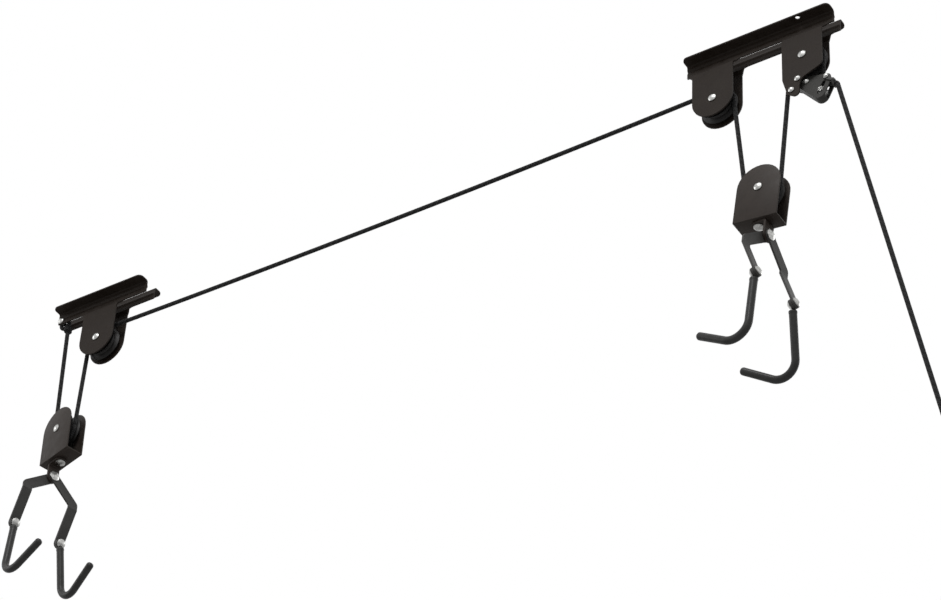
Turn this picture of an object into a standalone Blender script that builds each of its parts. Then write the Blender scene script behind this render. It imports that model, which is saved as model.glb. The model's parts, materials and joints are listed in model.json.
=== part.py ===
"""Bike ceiling hoist: two ceiling brackets, two lifting blocks with folding hook arms, one rope and its lock.

Metres, +Z up. The ceiling is the plane z = 0, the front bracket's middle is at x = 0, and the rope runs in
the plane y = 0.
Near means the -Y side, far the +Y side. The blocks are modelled where they hang in the photograph.
"""

import math

import bmesh
import bpy
from mathutils import Euler, Matrix, Vector

# Fits
RUN_GAP = 0.0003
ROPE_END_GAP = 0.0005
HOLE_GAP = 0.00025

# Brackets
PLATE_THICKNESS = 0.002
PLATE_OUTER_Y = 0.0135
FLANGE_REACH = 0.012
FLANGE_CORNER = 0.007
BEND_RADIUS = 0.002
GROOVE_MIDDLE = 0.0112
GROOVE_HEIGHT = 0.008
GROOVE_DEPTH = 0.0012
SCREW_HOLE = 0.006
SCREW_PITCH = 0.059
SCREW_LINE = 0.0064
SCREW_PLACES = {"front_near": (1,), "front_far": (-1, 0, 1), "rear_near": (), "rear_far": (-1, 0, 1)}
STRIP_DROP = 0.020
STRIP_INSET = 0.0035
STEP_DROP = 0.0212
LOBE_RADIUS = 0.029
LOBE_FILLET = 0.009
AXLE_DROP = 0.075
NIB = 0.004
CUT_MARGIN = 0.002

# Front bracket
FRONT_HALF_LENGTH = 0.104
INNER_AXLE_INSET = 0.038
OUTER_AXLE_INSET = 0.0436
INNER_AXLE_X = INNER_AXLE_INSET - FRONT_HALF_LENGTH
OUTER_AXLE_X = FRONT_HALF_LENGTH - OUTER_AXLE_INSET
OUTER_AXLE_DROP = 0.060

# Outer lobe and tail, as places from the outer axle
LOBE_LEFT = -0.028
FAR_LOBE_RADIUS = 0.0252
FAR_LOBE_BOTTOM = -0.028
FAR_BOSS_RADIUS = 0.0048
NEAR_CORNER_PLACE = (0.0165, -0.020)
NEAR_CORNER_RADIUS = 0.011
NEAR_TAIL_LEFT = ((-0.028, -0.033), (-0.0257, -0.0425), (-0.0237, -0.050), (-0.0224, -0.058))
NEAR_TAIL_RIGHT = ((-0.0048, -0.0495), (-0.0026, -0.042), (0.0016, -0.038), (0.0077, -0.0355))
TAIL_CORNER_PLACE = (-0.0105, -0.0600)
TAIL_CORNER_RADIUS = 0.0055
TAIL_RIVET_PLACE = (-0.0159, -0.0537)

# Rear bracket
REAR_MIDDLE_X = -1.047
REAR_HALF_LENGTH = 0.078
REAR_AXLE_OFFSET = 0.0014
REAR_AXLE_X = REAR_MIDDLE_X + REAR_AXLE_OFFSET
ANCHOR_INSET = 0.0045
ANCHOR_X = REAR_MIDDLE_X - REAR_HALF_LENGTH + ANCHOR_INSET
ANCHOR_DROP = 0.0146
ANCHOR_RIVET_RADIUS = 0.0028
ANCHOR_RIVET_HEAD = 0.0050

# Rope and sheaves
ROPE_RADIUS = 0.003
PITCH_RADIUS = 0.023
RIM_RADIUS = 0.0262
SHEAVE_WIDTH = 0.0125
HUB_RADIUS = 0.009
HUB_SHOULDER = 0.003
RIM_DISH = 0.0012
AXLE_RADIUS = 0.004
AXLE_HEAD_RADIUS = 0.0056
HEAD_HEIGHT = 0.0028
HEAD_CROWN = (0.55, 0.85)
HEAD_EDGE = 0.25
ROPE_SAG = 0.0055
LOOP_SLACK = 0.0010
KNOT_RADIUS = 0.0058
KNOT_LENGTH = 0.013
KNOT_DROP = 0.0115

# Rope lock, as places from the outer axle
LOCK_RIVET_PLACE = (-0.0070, -0.0385)
LOCK_PIN_PLACE = (0.0012, -0.0410)
LOCK_RIVET_RADIUS = 0.0024
LOCK_RIVET_HEAD = 0.0042
LOCK_INNER_WIDTH = 0.0086
LOCK_SHEET = 0.0018
LOCK_CORNER = 0.0070
ANVIL_PLACE = (0.0291, -0.0465)
ANVIL_CORNER = 0.0055
ANVIL_RADIUS = 0.0045
ANVIL_PIN_RADIUS = 0.0022
ANVIL_PIN_HEAD = 0.0036
SLOT_TOP_PLACE = (0.0249, -0.0535)
SLOT_BOTTOM_PLACE = (0.0181, -0.0675)
ROLLER_RADIUS = 0.0062
ROLLER_EDGE = 0.0006
ROLLER_PIN_RADIUS = 0.0024
ROLLER_HEAD_LIP = 0.0012
ROLLER_HEAD_HEIGHT = 0.0012
ROLLER_HEAD_EDGE = 0.0004
EYELET_PLACE = (0.0362, -0.0545)
EYELET_RING_RADIUS = 0.0055
EYELET_WIRE_RADIUS = 0.0015
EYELET_EAR = 0.0014
EYELET_EAR_RADIUS = 0.0042

# Free part of the rope
FREE_LEAN = math.radians(11.4)
FREE_LENGTH = 0.585
END_KNOT_RADIUS = 0.0075
END_KNOT_LIP = 0.001
END_KNOT_DROPS = (0.004, 0.009, 0.013)
END_TAIL_DROP = 0.030

# Lifting blocks
BLOCK_OUTER_Y = 0.0135
BLOCK_SHEET = 0.002
BLOCK_EDGE = 0.002
BLOCK_HALF_WIDTH = 0.030
BLOCK_TOP_CENTRE = 0.004
BLOCK_DROP = 0.049
FRONT_BLOCK_OFFSET = -0.0007
FRONT_BLOCK_DROP = 0.2520
FRONT_BLOCK_PLACE = ((INNER_AXLE_X + OUTER_AXLE_X) / 2 + FRONT_BLOCK_OFFSET, 0.0, -FRONT_BLOCK_DROP)
FRONT_BLOCK_TILT = math.radians(7.0)
FRONT_SWIVEL_TURN = math.radians(-4.8)
REAR_BLOCK_OFFSET = -0.0419
REAR_BLOCK_DROP = 0.2190
REAR_BLOCK_PLACE = (REAR_AXLE_X + REAR_BLOCK_OFFSET, 0.0, -REAR_BLOCK_DROP)
REAR_BLOCK_TILT = math.radians(-3.0)
REAR_BLOCK_TURN = math.radians(-13.6)
REAR_SWIVEL_TURN = math.radians(180.0)

# Swivel bracket, arms and hooks
SWIVEL_SHEET = 0.003
SWIVEL_WIDTH = 0.018
SWIVEL_BEND = 0.0015
SWIVEL_RIVET_RADIUS = 0.004
SWIVEL_RIVET_HEAD = 0.0070
SWIVEL_HEAD_HEIGHT = 0.0022
SWIVEL_HEAD_EDGE = 0.0006
SWIVEL_HEAD_CROWN = (0.7, 0.8)
TONGUE_OFFSET = 0.0142
PIVOT_DROP = 0.0705
PIVOT_RADIUS = 0.0035
PIVOT_HEAD = 0.0075
ARM_WIDTH = 0.0145
ARM_SHEET = 0.0028
ARM_UPPER = 0.0514
ARM_LOWER = 0.0518
ELBOW_RISE = 0.007
FOLD_PROUD = 0.0001
ARM_SPREAD = math.radians(44.4)
ARM_FOLD = math.radians(24.2)
HOOK_RIVET_RADIUS = 0.0027
HOOK_RIVET_HEAD = 0.0064
HOOK_HEAD_HEIGHT = 0.0038
EYE_RADIUS = 0.0072
EYE_THICKNESS = 0.0034
ROD_RADIUS = 0.0027
ROD_END_GAP = 0.002
SLEEVE_END_GAP = 0.0015
SLEEVE_RADIUS = 0.0050
SLEEVE_START = 0.0082
HOOK_STRAIGHT = 0.0600
HOOK_BEND = 0.0217
HOOK_RISE = math.radians(25.4)
HOOK_TIP = 0.0450
HOOK_LEANS = {"front_near": 0.0, "front_far": 18.0, "rear_near": 4.9, "rear_far": 8.7}

PARTS = "bike_ceiling_hoist"
CUTTERS = "cutters"

STEEL_BLACK = ((0.018, 0.017, 0.016), 0.42, 0.55)
STEEL_ZINC = ((0.62, 0.62, 0.60), 0.28, 1.0)
NYLON_BLACK = ((0.020, 0.020, 0.021), 0.50, 0.0)
VINYL_GREY = ((0.045, 0.047, 0.048), 0.55, 0.0)
ROPE_BLACK = ((0.022, 0.022, 0.023), 0.85, 0.0)


# Scene and small helpers


def clear_scene():
    for old in list(bpy.data.objects):
        bpy.data.objects.remove(old, do_unlink=True)


def collection(name):
    found = bpy.data.collections.get(name)
    if found is None:
        found = bpy.data.collections.new(name)
        bpy.context.scene.collection.children.link(found)
    return found


def finish(name, kind):
    colour, roughness, metallic = kind
    made = bpy.data.materials.new(name)
    made.use_nodes = True
    shader = made.node_tree.nodes["Principled BSDF"]
    shader.inputs["Base Color"].default_value = (*colour, 1.0)
    shader.inputs["Roughness"].default_value = roughness
    shader.inputs["Metallic"].default_value = metallic
    made.diffuse_color = (*colour, 1.0)
    return made


def place_at(name, location, rotation=(0.0, 0.0, 0.0), parent=None):
    """An empty that carries the pieces of one moving group."""
    empty = bpy.data.objects.new(name, None)
    empty.empty_display_size = 0.01
    collection(PARTS).objects.link(empty)
    empty.location = location
    empty.rotation_euler = Euler(rotation, "XYZ")
    empty.parent = parent
    return empty


def piece(name, mesh, kind, parent=None, location=(0.0, 0.0, 0.0), rotation=(0.0, 0.0, 0.0), smooth=False):
    made = bpy.data.objects.new(name, mesh)
    collection(PARTS).objects.link(made)
    made.parent = parent
    made.location = location
    made.rotation_euler = Euler(rotation, "XYZ")
    mesh.materials.clear()
    mesh.materials.append(finish(name, kind))
    for face in mesh.polygons:
        face.use_smooth = smooth
    return made


def cutter(mesh, body, name):
    """A hidden solid beside the body it shapes, in the same local frame."""
    made = bpy.data.objects.new(name, mesh)
    collection(CUTTERS).objects.link(made)
    made.parent = body.parent
    made.location = body.location
    made.rotation_euler = body.rotation_euler
    made.hide_render = True
    made.display_type = "WIRE"
    return made


def shape_with(body, mesh, operation):
    tool = cutter(mesh, body, f"{body.name}_{operation.lower()}_{len(body.modifiers)}")
    step = body.modifiers.new(operation.title(), "BOOLEAN")
    step.operation = operation
    step.object = tool
    step.solver = "EXACT"


def bevelled(body, width, segments=2, angle=30.0):
    step = body.modifiers.new("Soft edges", "BEVEL")
    step.width = width
    step.segments = segments
    step.limit_method = "ANGLE"
    step.angle_limit = math.radians(angle)


def turned(body, steps=24):
    """Screw a profile in the local XZ plane about local Z."""
    step = body.modifiers.new("Turn", "SCREW")
    step.angle = math.tau
    step.steps = steps
    step.render_steps = steps
    step.use_merge_vertices = True
    step.merge_threshold = 0.00001
    step.use_smooth_shade = True


# Meshes


def profile_mesh(name, points, closed=False):
    mesh = bpy.data.meshes.new(name)
    count = len(points)
    edges = [(i, i + 1) for i in range(count - 1)]
    if closed:
        edges.append((count - 1, 0))
    mesh.from_pydata([(r, 0.0, z) for r, z in points], edges, [])
    return mesh


def from_bmesh(name, bm):
    mesh = bpy.data.meshes.new(name)
    bmesh.ops.recalc_face_normals(bm, faces=bm.faces)
    bm.to_mesh(mesh)
    bm.free()
    return mesh


def rod_mesh(name, radius, ends, sides=16):
    """A cylinder between two points."""
    first, last = Vector(ends[0]), Vector(ends[1])
    bm = bmesh.new()
    turn = (last - first).to_track_quat("Z", "Y").to_matrix().to_4x4()
    spot = Matrix.Translation((first + last) / 2) @ turn
    depth = (last - first).length
    bmesh.ops.create_cone(
        bm, cap_ends=True, segments=sides, radius1=radius, radius2=radius, depth=depth, matrix=spot
    )
    return from_bmesh(name, bm)


def joined(name, meshes):
    """Several separate solids as one mesh, to cut with in one step."""
    bm = bmesh.new()
    for mesh in meshes:
        bm.from_mesh(mesh)
    return from_bmesh(name, bm)


def box_mesh(name, low, high):
    bm = bmesh.new()
    size = [b - a for a, b in zip(low, high)]
    middle = [(a + b) / 2 for a, b in zip(low, high)]
    bmesh.ops.create_cube(bm, size=1.0, matrix=Matrix.Translation(middle) @ Matrix.Diagonal((*size, 1.0)))
    return from_bmesh(name, bm)


def outline_mesh(name, points, thickness, frame):
    """A flat outline in (u, v), given thickness about its plane, in the frame's axes u, v, w."""
    flat = bpy.data.curves.new(name, "CURVE")
    flat.dimensions = "2D"
    flat.fill_mode = "BOTH"
    flat.extrude = thickness / 2
    line = flat.splines.new("POLY")
    line.points.add(len(points) - 1)
    for spot, (u, v) in zip(line.points, points):
        spot.co = (u, v, 0.0, 1.0)
    line.use_cyclic_u = True
    return mesh_of_curve(name, flat, frame)


def tube_mesh(name, points, radius, resolution=2, closed=False):
    wire = bpy.data.curves.new(name, "CURVE")
    wire.dimensions = "3D"
    wire.bevel_depth = radius
    wire.bevel_resolution = resolution
    wire.use_fill_caps = not closed
    line = wire.splines.new("POLY")
    line.points.add(len(points) - 1)
    for spot, point in zip(line.points, points):
        spot.co = (*point, 1.0)
    line.use_cyclic_u = closed
    return mesh_of_curve(name, wire, Matrix.Identity(4))


def mesh_of_curve(name, data, frame):
    carrier = bpy.data.objects.new(name, data)
    bpy.context.scene.collection.objects.link(carrier)
    carrier.matrix_world = frame
    bpy.context.view_layer.update()
    evaluated = carrier.evaluated_get(bpy.context.evaluated_depsgraph_get())
    mesh = bpy.data.meshes.new_from_object(evaluated)
    mesh.transform(carrier.matrix_world)
    bpy.data.objects.remove(carrier, do_unlink=True)
    bm = bmesh.new()
    bm.from_mesh(mesh)
    bmesh.ops.remove_doubles(bm, verts=bm.verts, dist=0.000005)
    bmesh.ops.recalc_face_normals(bm, faces=bm.faces)
    bm.to_mesh(mesh)
    bm.free()
    return mesh


def axes(u, v, origin=(0.0, 0.0, 0.0)):
    """The matrix whose x and y axes are u and v."""
    u, v = Vector(u), Vector(v)
    w = u.cross(v)
    return Matrix.Translation(origin) @ Matrix((u, v, w)).transposed().to_4x4()


UPRIGHT = axes((1, 0, 0), (0, 0, 1))
LEVEL = axes((1, 0, 0), (0, 1, 0))
ACROSS = axes((0, 1, 0), (0, 0, 1))


def arc(centre, radius, start, end, steps):
    """Points on an arc in degrees, both ends included."""
    spots = []
    for i in range(steps + 1):
        angle = math.radians(start + (end - start) * i / steps)
        spots.append((centre[0] + radius * math.cos(angle), centre[1] + radius * math.sin(angle)))
    return spots


def tangent(first, first_turn, second, second_turn):
    """Ends of the straight rope between two circles; a turn is a radius, positive on the line's left."""
    gap = Vector(second) - Vector(first)
    heading = math.atan2(gap.y, gap.x) - math.asin((first_turn - second_turn) / gap.length)
    left = Vector((-math.sin(heading), math.cos(heading)))
    return Vector(first) + left * first_turn, Vector(second) + left * second_turn


def rivet(name, radius, head, reach, parent, location, rotation=(math.pi / 2, 0.0, 0.0), height=HEAD_HEIGHT):
    """A rivet along local Z with a domed head at each end; reach is half the length between its heads."""
    wide, high = HEAD_CROWN
    half = [(0.0, reach + height), (wide * head, reach + high * height)]
    half += [(head, reach + HEAD_EDGE * height), (head, reach), (radius, reach)]
    points = half + [(r, -z) for r, z in reversed(half)]
    made = piece(name, profile_mesh(name, points), STEEL_ZINC, parent, location, rotation)
    turned(made, 14)


# Brackets


def plate_profile(side, depth):
    """The section of a side plate in (y, z): flange, grooved strip, then a step out to the lobes."""
    strip_y = PLATE_OUTER_Y - STRIP_INSET
    reach = PLATE_OUTER_Y + FLANGE_REACH
    outer_bend = BEND_RADIUS + PLATE_THICKNESS
    bend_middle = (strip_y + BEND_RADIUS, -outer_bend)
    mitre = PLATE_THICKNESS * math.tan(math.pi / 8)
    face = []
    for step in range(9):
        drop = GROOVE_MIDDLE + GROOVE_HEIGHT * (step / 8 - 0.5)
        dip = GROOVE_DEPTH * 0.5 * (1 - math.cos(math.tau * step / 8))
        face.append((strip_y - dip, -drop))
    face += [(strip_y, -STEP_DROP), (PLATE_OUTER_Y, -STEP_DROP - STRIP_INSET), (PLATE_OUTER_Y, -depth)]
    back = [(y - PLATE_THICKNESS, z) for y, z in face]
    back[-3:-1] = [(y, z - mitre) for y, z in back[-3:-1]]
    points = [(reach, 0.0), (reach, -PLATE_THICKNESS)] + arc(bend_middle, BEND_RADIUS, 90, 180, 3)
    points += face + back[::-1] + arc(bend_middle, outer_bend, 180, 90, 4)
    return [(side * y, z) for y, z in points]


def flange_plan(low_x, high_x, side):
    """The plate seen from above, with the flange's free corners rounded."""
    reach = PLATE_OUTER_Y + FLANGE_REACH
    back = PLATE_OUTER_Y - STRIP_INSET - 2 * PLATE_THICKNESS - GROOVE_DEPTH
    points = [(high_x, back)]
    points += arc((high_x - FLANGE_CORNER, reach - FLANGE_CORNER), FLANGE_CORNER, 0, 90, 4)
    points += arc((low_x + FLANGE_CORNER, reach - FLANGE_CORNER), FLANGE_CORNER, 90, 180, 4)
    points += [(low_x, back)]
    return [(x, side * y) for x, y in points]


def side_plate(name, outline, low_x, high_x, side, holes, screws):
    depth = -min(z for _, z in outline) + CUT_MARGIN
    length = high_x - low_x + 2 * CUT_MARGIN
    middle = (low_x + high_x) / 2
    across = axes((0, 1, 0), (0, 0, 1), (middle, 0, 0))
    plate = piece(name, outline_mesh(name, plate_profile(side, depth), length, across), STEEL_BLACK)
    wide = 3 * (PLATE_OUTER_Y + FLANGE_REACH)
    shape_with(plate, outline_mesh(name, outline, wide, UPRIGHT), "INTERSECT")
    shape_with(plate, outline_mesh(name, flange_plan(low_x, high_x, side), 3 * depth, LEVEL), "INTERSECT")
    bores = []
    back = side * (PLATE_OUTER_Y - STRIP_INSET - 2 * PLATE_THICKNESS)
    front = side * (PLATE_OUTER_Y + CUT_MARGIN)
    for x, z, radius in holes:
        bores.append(rod_mesh(name, radius + HOLE_GAP, ((x, back, z), (x, front, z))))
    y = side * (PLATE_OUTER_Y + SCREW_LINE)
    for step in screws:
        x = middle + step * SCREW_PITCH
        ends = ((x, y, CUT_MARGIN), (x, y, -PLATE_THICKNESS - CUT_MARGIN))
        bores.append(rod_mesh(name, SCREW_HOLE / 2, ends))
    shape_with(plate, joined(name, bores), "DIFFERENCE")


def lobe(axle_x, axle_drop, radius, start=180, end=360, steps=16):
    return arc((axle_x, -axle_drop), radius, start, end, steps)


def fillet(corner, turn_x):
    """The round that leads from a lobe's side into the strip's lower edge; turn_x is the strip's side."""
    x, z = corner
    return arc((x + turn_x * LOBE_FILLET, z - LOBE_FILLET), LOBE_FILLET, 90 + 90 * turn_x, 90, 3)


def strip_start(low, lobe_left):
    """The strip's low-x end, whose lower corner runs into the lobe's side in a soft step."""
    points = [(low, CUT_MARGIN), (low, -STRIP_DROP - NIB / 2), (low + NIB / 2, -STRIP_DROP - NIB)]
    return points + [(lobe_left - NIB / 2, -STRIP_DROP - 2 * NIB), (lobe_left, -STRIP_DROP - 3 * NIB)]


def strip_end(high, lobe_right):
    return fillet((lobe_right, -STRIP_DROP), 1) + [(high, -STRIP_DROP), (high, CUT_MARGIN)]


def by_outer_axle(place):
    return (OUTER_AXLE_X + place[0], place[1] - OUTER_AXLE_DROP)


def inner_lobe():
    points = strip_start(-FRONT_HALF_LENGTH, INNER_AXLE_X - LOBE_RADIUS)
    points += lobe(INNER_AXLE_X, AXLE_DROP, LOBE_RADIUS)
    points += fillet((INNER_AXLE_X + LOBE_RADIUS, -STRIP_DROP), 1)
    return points + [(OUTER_AXLE_X + LOBE_LEFT, -STRIP_DROP)]


def near_front_outline():
    """The near plate, whose outer lobe has a square corner and a tail that hangs beside the rope lock."""
    points = inner_lobe()
    points += [by_outer_axle(place) for place in NEAR_TAIL_LEFT]
    points += arc(by_outer_axle(TAIL_CORNER_PLACE), TAIL_CORNER_RADIUS, 245, 360, 5)
    points += [by_outer_axle(place) for place in NEAR_TAIL_RIGHT]
    corner = by_outer_axle(NEAR_CORNER_PLACE)
    points += arc(corner, NEAR_CORNER_RADIUS, 285, 360, 5)
    return points + strip_end(FRONT_HALF_LENGTH, corner[0] + NEAR_CORNER_RADIUS)


def far_front_outline():
    """The far plate, whose outer lobe is round and has a small boss at the lock's rivet."""
    points = inner_lobe()
    points += [by_outer_axle((LOBE_LEFT, FAR_LOBE_BOTTOM))]
    points += arc(by_outer_axle(LOCK_RIVET_PLACE), FAR_BOSS_RADIUS, 200, 345, 6)
    points += lobe(OUTER_AXLE_X, OUTER_AXLE_DROP, FAR_LOBE_RADIUS, 295, 360, 6)
    return points + strip_end(FRONT_HALF_LENGTH, OUTER_AXLE_X + FAR_LOBE_RADIUS)


def rear_outline():
    low, high = REAR_MIDDLE_X - REAR_HALF_LENGTH, REAR_MIDDLE_X + REAR_HALF_LENGTH
    points = [(low, CUT_MARGIN), (low, -STRIP_DROP)]
    points += reversed(fillet((REAR_AXLE_X - LOBE_RADIUS, -STRIP_DROP), -1))
    points += lobe(REAR_AXLE_X, AXLE_DROP, LOBE_RADIUS)
    return points + strip_end(high, REAR_AXLE_X + LOBE_RADIUS)


def brackets():
    lock_hole = (*by_outer_axle(LOCK_RIVET_PLACE), LOCK_RIVET_RADIUS)
    tail_hole = (*by_outer_axle(TAIL_RIVET_PLACE), LOCK_RIVET_RADIUS)
    front_holes = [
        (INNER_AXLE_X, -AXLE_DROP, AXLE_RADIUS), (OUTER_AXLE_X, -OUTER_AXLE_DROP, AXLE_RADIUS), lock_hole,
    ]
    rear_holes = [(REAR_AXLE_X, -AXLE_DROP, AXLE_RADIUS), (ANCHOR_X, -ANCHOR_DROP, ANCHOR_RIVET_RADIUS)]
    front_ends = (-FRONT_HALF_LENGTH, FRONT_HALF_LENGTH)
    rear_ends = (REAR_MIDDLE_X - REAR_HALF_LENGTH, REAR_MIDDLE_X + REAR_HALF_LENGTH)
    for word, side, outline, holes in (
        ("near", -1, near_front_outline(), [*front_holes, tail_hole]),
        ("far", 1, far_front_outline(), front_holes),
    ):
        screws = SCREW_PLACES[f"front_{word}"]
        side_plate(f"front_plate_{word}", outline, *front_ends, side, holes, screws)
        screws = SCREW_PLACES[f"rear_{word}"]
        side_plate(f"rear_plate_{word}", rear_outline(), *rear_ends, side, rear_holes, screws)


# Sheaves and axles


def sheave_profile(hub_reach):
    """Half section of a grooved wheel with a bored hub, from the bore round to the bore."""
    bore = AXLE_RADIUS + HOLE_GAP
    half = SHEAVE_WIDTH / 2
    groove_radius = ROPE_RADIUS + RUN_GAP
    root = [(r, z) for z, r in arc((0.0, PITCH_RADIUS), groove_radius, 180, 360, 4)]
    lower = [(bore, -hub_reach), (HUB_RADIUS, -hub_reach), (HUB_RADIUS, -half + RIM_DISH)]
    lower += [(HUB_RADIUS + HUB_SHOULDER, -half), (RIM_RADIUS, -half)]
    upper = [(r, -z) for r, z in reversed(lower)]
    return list(reversed(lower + root + upper))


def sheave(name, parent, location, hub_reach):
    wheel = piece(
        name, profile_mesh(name, sheave_profile(hub_reach), closed=True), NYLON_BLACK, parent, location,
        (math.pi / 2, 0.0, 0.0),
    )
    turned(wheel, 24)


def bracket_sheaves():
    hub = PLATE_OUTER_Y - PLATE_THICKNESS - RUN_GAP
    for name, x, drop in (
        ("inner", INNER_AXLE_X, AXLE_DROP),
        ("outer", OUTER_AXLE_X, OUTER_AXLE_DROP),
        ("rear", REAR_AXLE_X, AXLE_DROP),
    ):
        place = (x, 0.0, -drop)
        sheave(f"{name}_sheave", None, place, hub)
        rivet(f"{name}_axle", AXLE_RADIUS, AXLE_HEAD_RADIUS, PLATE_OUTER_Y + RUN_GAP, None, place)
    reach = PLATE_OUTER_Y - STRIP_INSET + RUN_GAP
    place = (ANCHOR_X, 0.0, -ANCHOR_DROP)
    rivet("anchor_rivet", ANCHOR_RIVET_RADIUS, ANCHOR_RIVET_HEAD, reach, None, place)


# Rope lock


def hull(circles):
    """The outline round a few circles, as a convex hull of points on them."""
    points = []
    for x, z, radius in circles:
        points += arc((x, z), radius, 0, 336, 14)
    points.sort()

    def half(ordered):
        kept = []
        for p in ordered:
            while len(kept) > 1 and cross(kept[-2], kept[-1], p) <= 1e-12:
                kept.pop()
            kept.append(p)
        return kept[:-1]

    ring = half(points) + half(points[::-1])
    return [p for i, p in enumerate(ring) if math.dist(p, ring[i - 1]) > 0.0004]


def cross(a, b, c):
    return (b[0] - a[0]) * (c[1] - a[1]) - (b[1] - a[1]) * (c[0] - a[0])


def lock_rest_place():
    """Where the locking roller touches the rope lightly: on its slot, one radius off the rope's line."""
    over, under = anvil_to_eyelet()
    heading = (under - over).normalized()
    away = Vector((heading.y, -heading.x))
    top, bottom = Vector(by_outer_axle(SLOT_TOP_PLACE)), Vector(by_outer_axle(SLOT_BOTTOM_PLACE))
    need = ROLLER_RADIUS + ROPE_RADIUS + RUN_GAP
    start = (top - over).dot(away)
    rate = (bottom - top).normalized().dot(away)
    return top + (bottom - top).normalized() * max(0.0, (need - start) / rate)


def anvil_turn():
    return ANVIL_RADIUS + ROPE_RADIUS + RUN_GAP


def rim_turn():
    return EYELET_WIRE_RADIUS + ROPE_RADIUS + RUN_GAP


def rim_place():
    x, z = by_outer_axle(EYELET_PLACE)
    return Vector((x, z - EYELET_RING_RADIUS))


def anvil_to_eyelet():
    return tangent(by_outer_axle(ANVIL_PLACE), -anvil_turn(), rim_place(), rim_turn())


def lock():
    outer = LOCK_INNER_WIDTH / 2 + LOCK_SHEET
    roller_room = ROLLER_RADIUS + 2 * RUN_GAP + LOCK_SHEET
    first, second = by_outer_axle(LOCK_RIVET_PLACE), by_outer_axle(LOCK_PIN_PLACE)
    anvil_spot = by_outer_axle(ANVIL_PLACE)
    top, bottom = by_outer_axle(SLOT_TOP_PLACE), by_outer_axle(SLOT_BOTTOM_PLACE)
    corners = [(*first, LOCK_CORNER), (*second, LOCK_CORNER)]
    corners += [(*bottom, roller_room), (*top, roller_room), (*anvil_spot, ANVIL_CORNER)]
    outline = hull(corners)
    housing = piece("lock_housing", outline_mesh("lock_housing", outline, 2 * outer, UPRIGHT), STEEL_BLACK)
    inner = [(x, z, radius - LOCK_SHEET) for x, z, radius in corners]
    reach = 4 * roller_room
    above = [(x, z + reach, radius) for x, z, radius in inner]
    beside = [(x + reach, z, radius) for x, z, radius in inner[3:]]
    hollow = hull(inner + above + beside)
    bores = []
    rivets = ((first, LOCK_RIVET_RADIUS), (second, LOCK_RIVET_RADIUS), (anvil_spot, ANVIL_PIN_RADIUS))
    for (x, z), radius in rivets:
        ends = ((x, -outer - CUT_MARGIN, z), (x, outer + CUT_MARGIN, z))
        bores.append(rod_mesh("lock_hole", radius + HOLE_GAP, ends))
    slot_radius = ROLLER_PIN_RADIUS + HOLE_GAP
    slot = hull([(*top, slot_radius), (*bottom, slot_radius)])
    bores.append(outline_mesh("lock_slot", slot, 3 * outer, UPRIGHT))
    shape_with(housing, joined("lock_bores", bores), "DIFFERENCE")
    shape_with(housing, outline_mesh("lock_hollow", hollow, LOCK_INNER_WIDTH, UPRIGHT), "DIFFERENCE")

    plates = PLATE_OUTER_Y + RUN_GAP
    rivet("lock_rivet_1", LOCK_RIVET_RADIUS, LOCK_RIVET_HEAD, plates, None, upright(first))
    rivet("lock_rivet_2", LOCK_RIVET_RADIUS, LOCK_RIVET_HEAD, outer + RUN_GAP, None, upright(second))
    tail = upright(by_outer_axle(TAIL_RIVET_PLACE), PLATE_THICKNESS / 2 - PLATE_OUTER_Y)
    rivet("tail_rivet", LOCK_RIVET_RADIUS, LOCK_RIVET_HEAD, PLATE_THICKNESS / 2 + RUN_GAP, None, tail)
    ears = outer + 2 * RUN_GAP + EYELET_EAR
    rivet("anvil_pin", ANVIL_PIN_RADIUS, ANVIL_PIN_HEAD, ears, None, upright(anvil_spot))
    half = LOCK_INNER_WIDTH / 2 - RUN_GAP
    anvil_roller(half, upright(anvil_spot))
    lock_roller(half, outer + RUN_GAP, upright(lock_rest_place()))
    eyelet(outer)


def upright(place, y=0.0):
    """A place in the rope's plane, (x, z), as a point at the given y."""
    return (place[0], y, place[1])


def anvil_roller(half, place):
    bore = ANVIL_PIN_RADIUS + HOLE_GAP
    ring = [(ANVIL_RADIUS, half), (ANVIL_RADIUS, -half), (bore, -half), (bore, half)]
    mesh = profile_mesh("anvil_roller", ring, closed=True)
    turned(piece("anvil_roller", mesh, STEEL_ZINC, None, place, (math.pi / 2, 0.0, 0.0)), 14)


def lock_roller(half, reach, place):
    """A roller between the housing's cheeks, on a pin whose heads ride outside the slots."""
    pin = ROLLER_PIN_RADIUS
    head = pin + ROLLER_HEAD_LIP
    end = reach + ROLLER_HEAD_HEIGHT
    top = [(0.0, end), (head - ROLLER_HEAD_EDGE, end), (head, end - ROLLER_HEAD_EDGE), (head, reach)]
    top += [(pin, reach), (pin, half)]
    top += [(ROLLER_RADIUS - ROLLER_EDGE, half), (ROLLER_RADIUS, half - ROLLER_EDGE)]
    mesh = profile_mesh("lock_roller", top + [(r, -z) for r, z in reversed(top)])
    turned(piece("lock_roller", mesh, STEEL_ZINC, None, place, (math.pi / 2, 0.0, 0.0)), 16)


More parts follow.
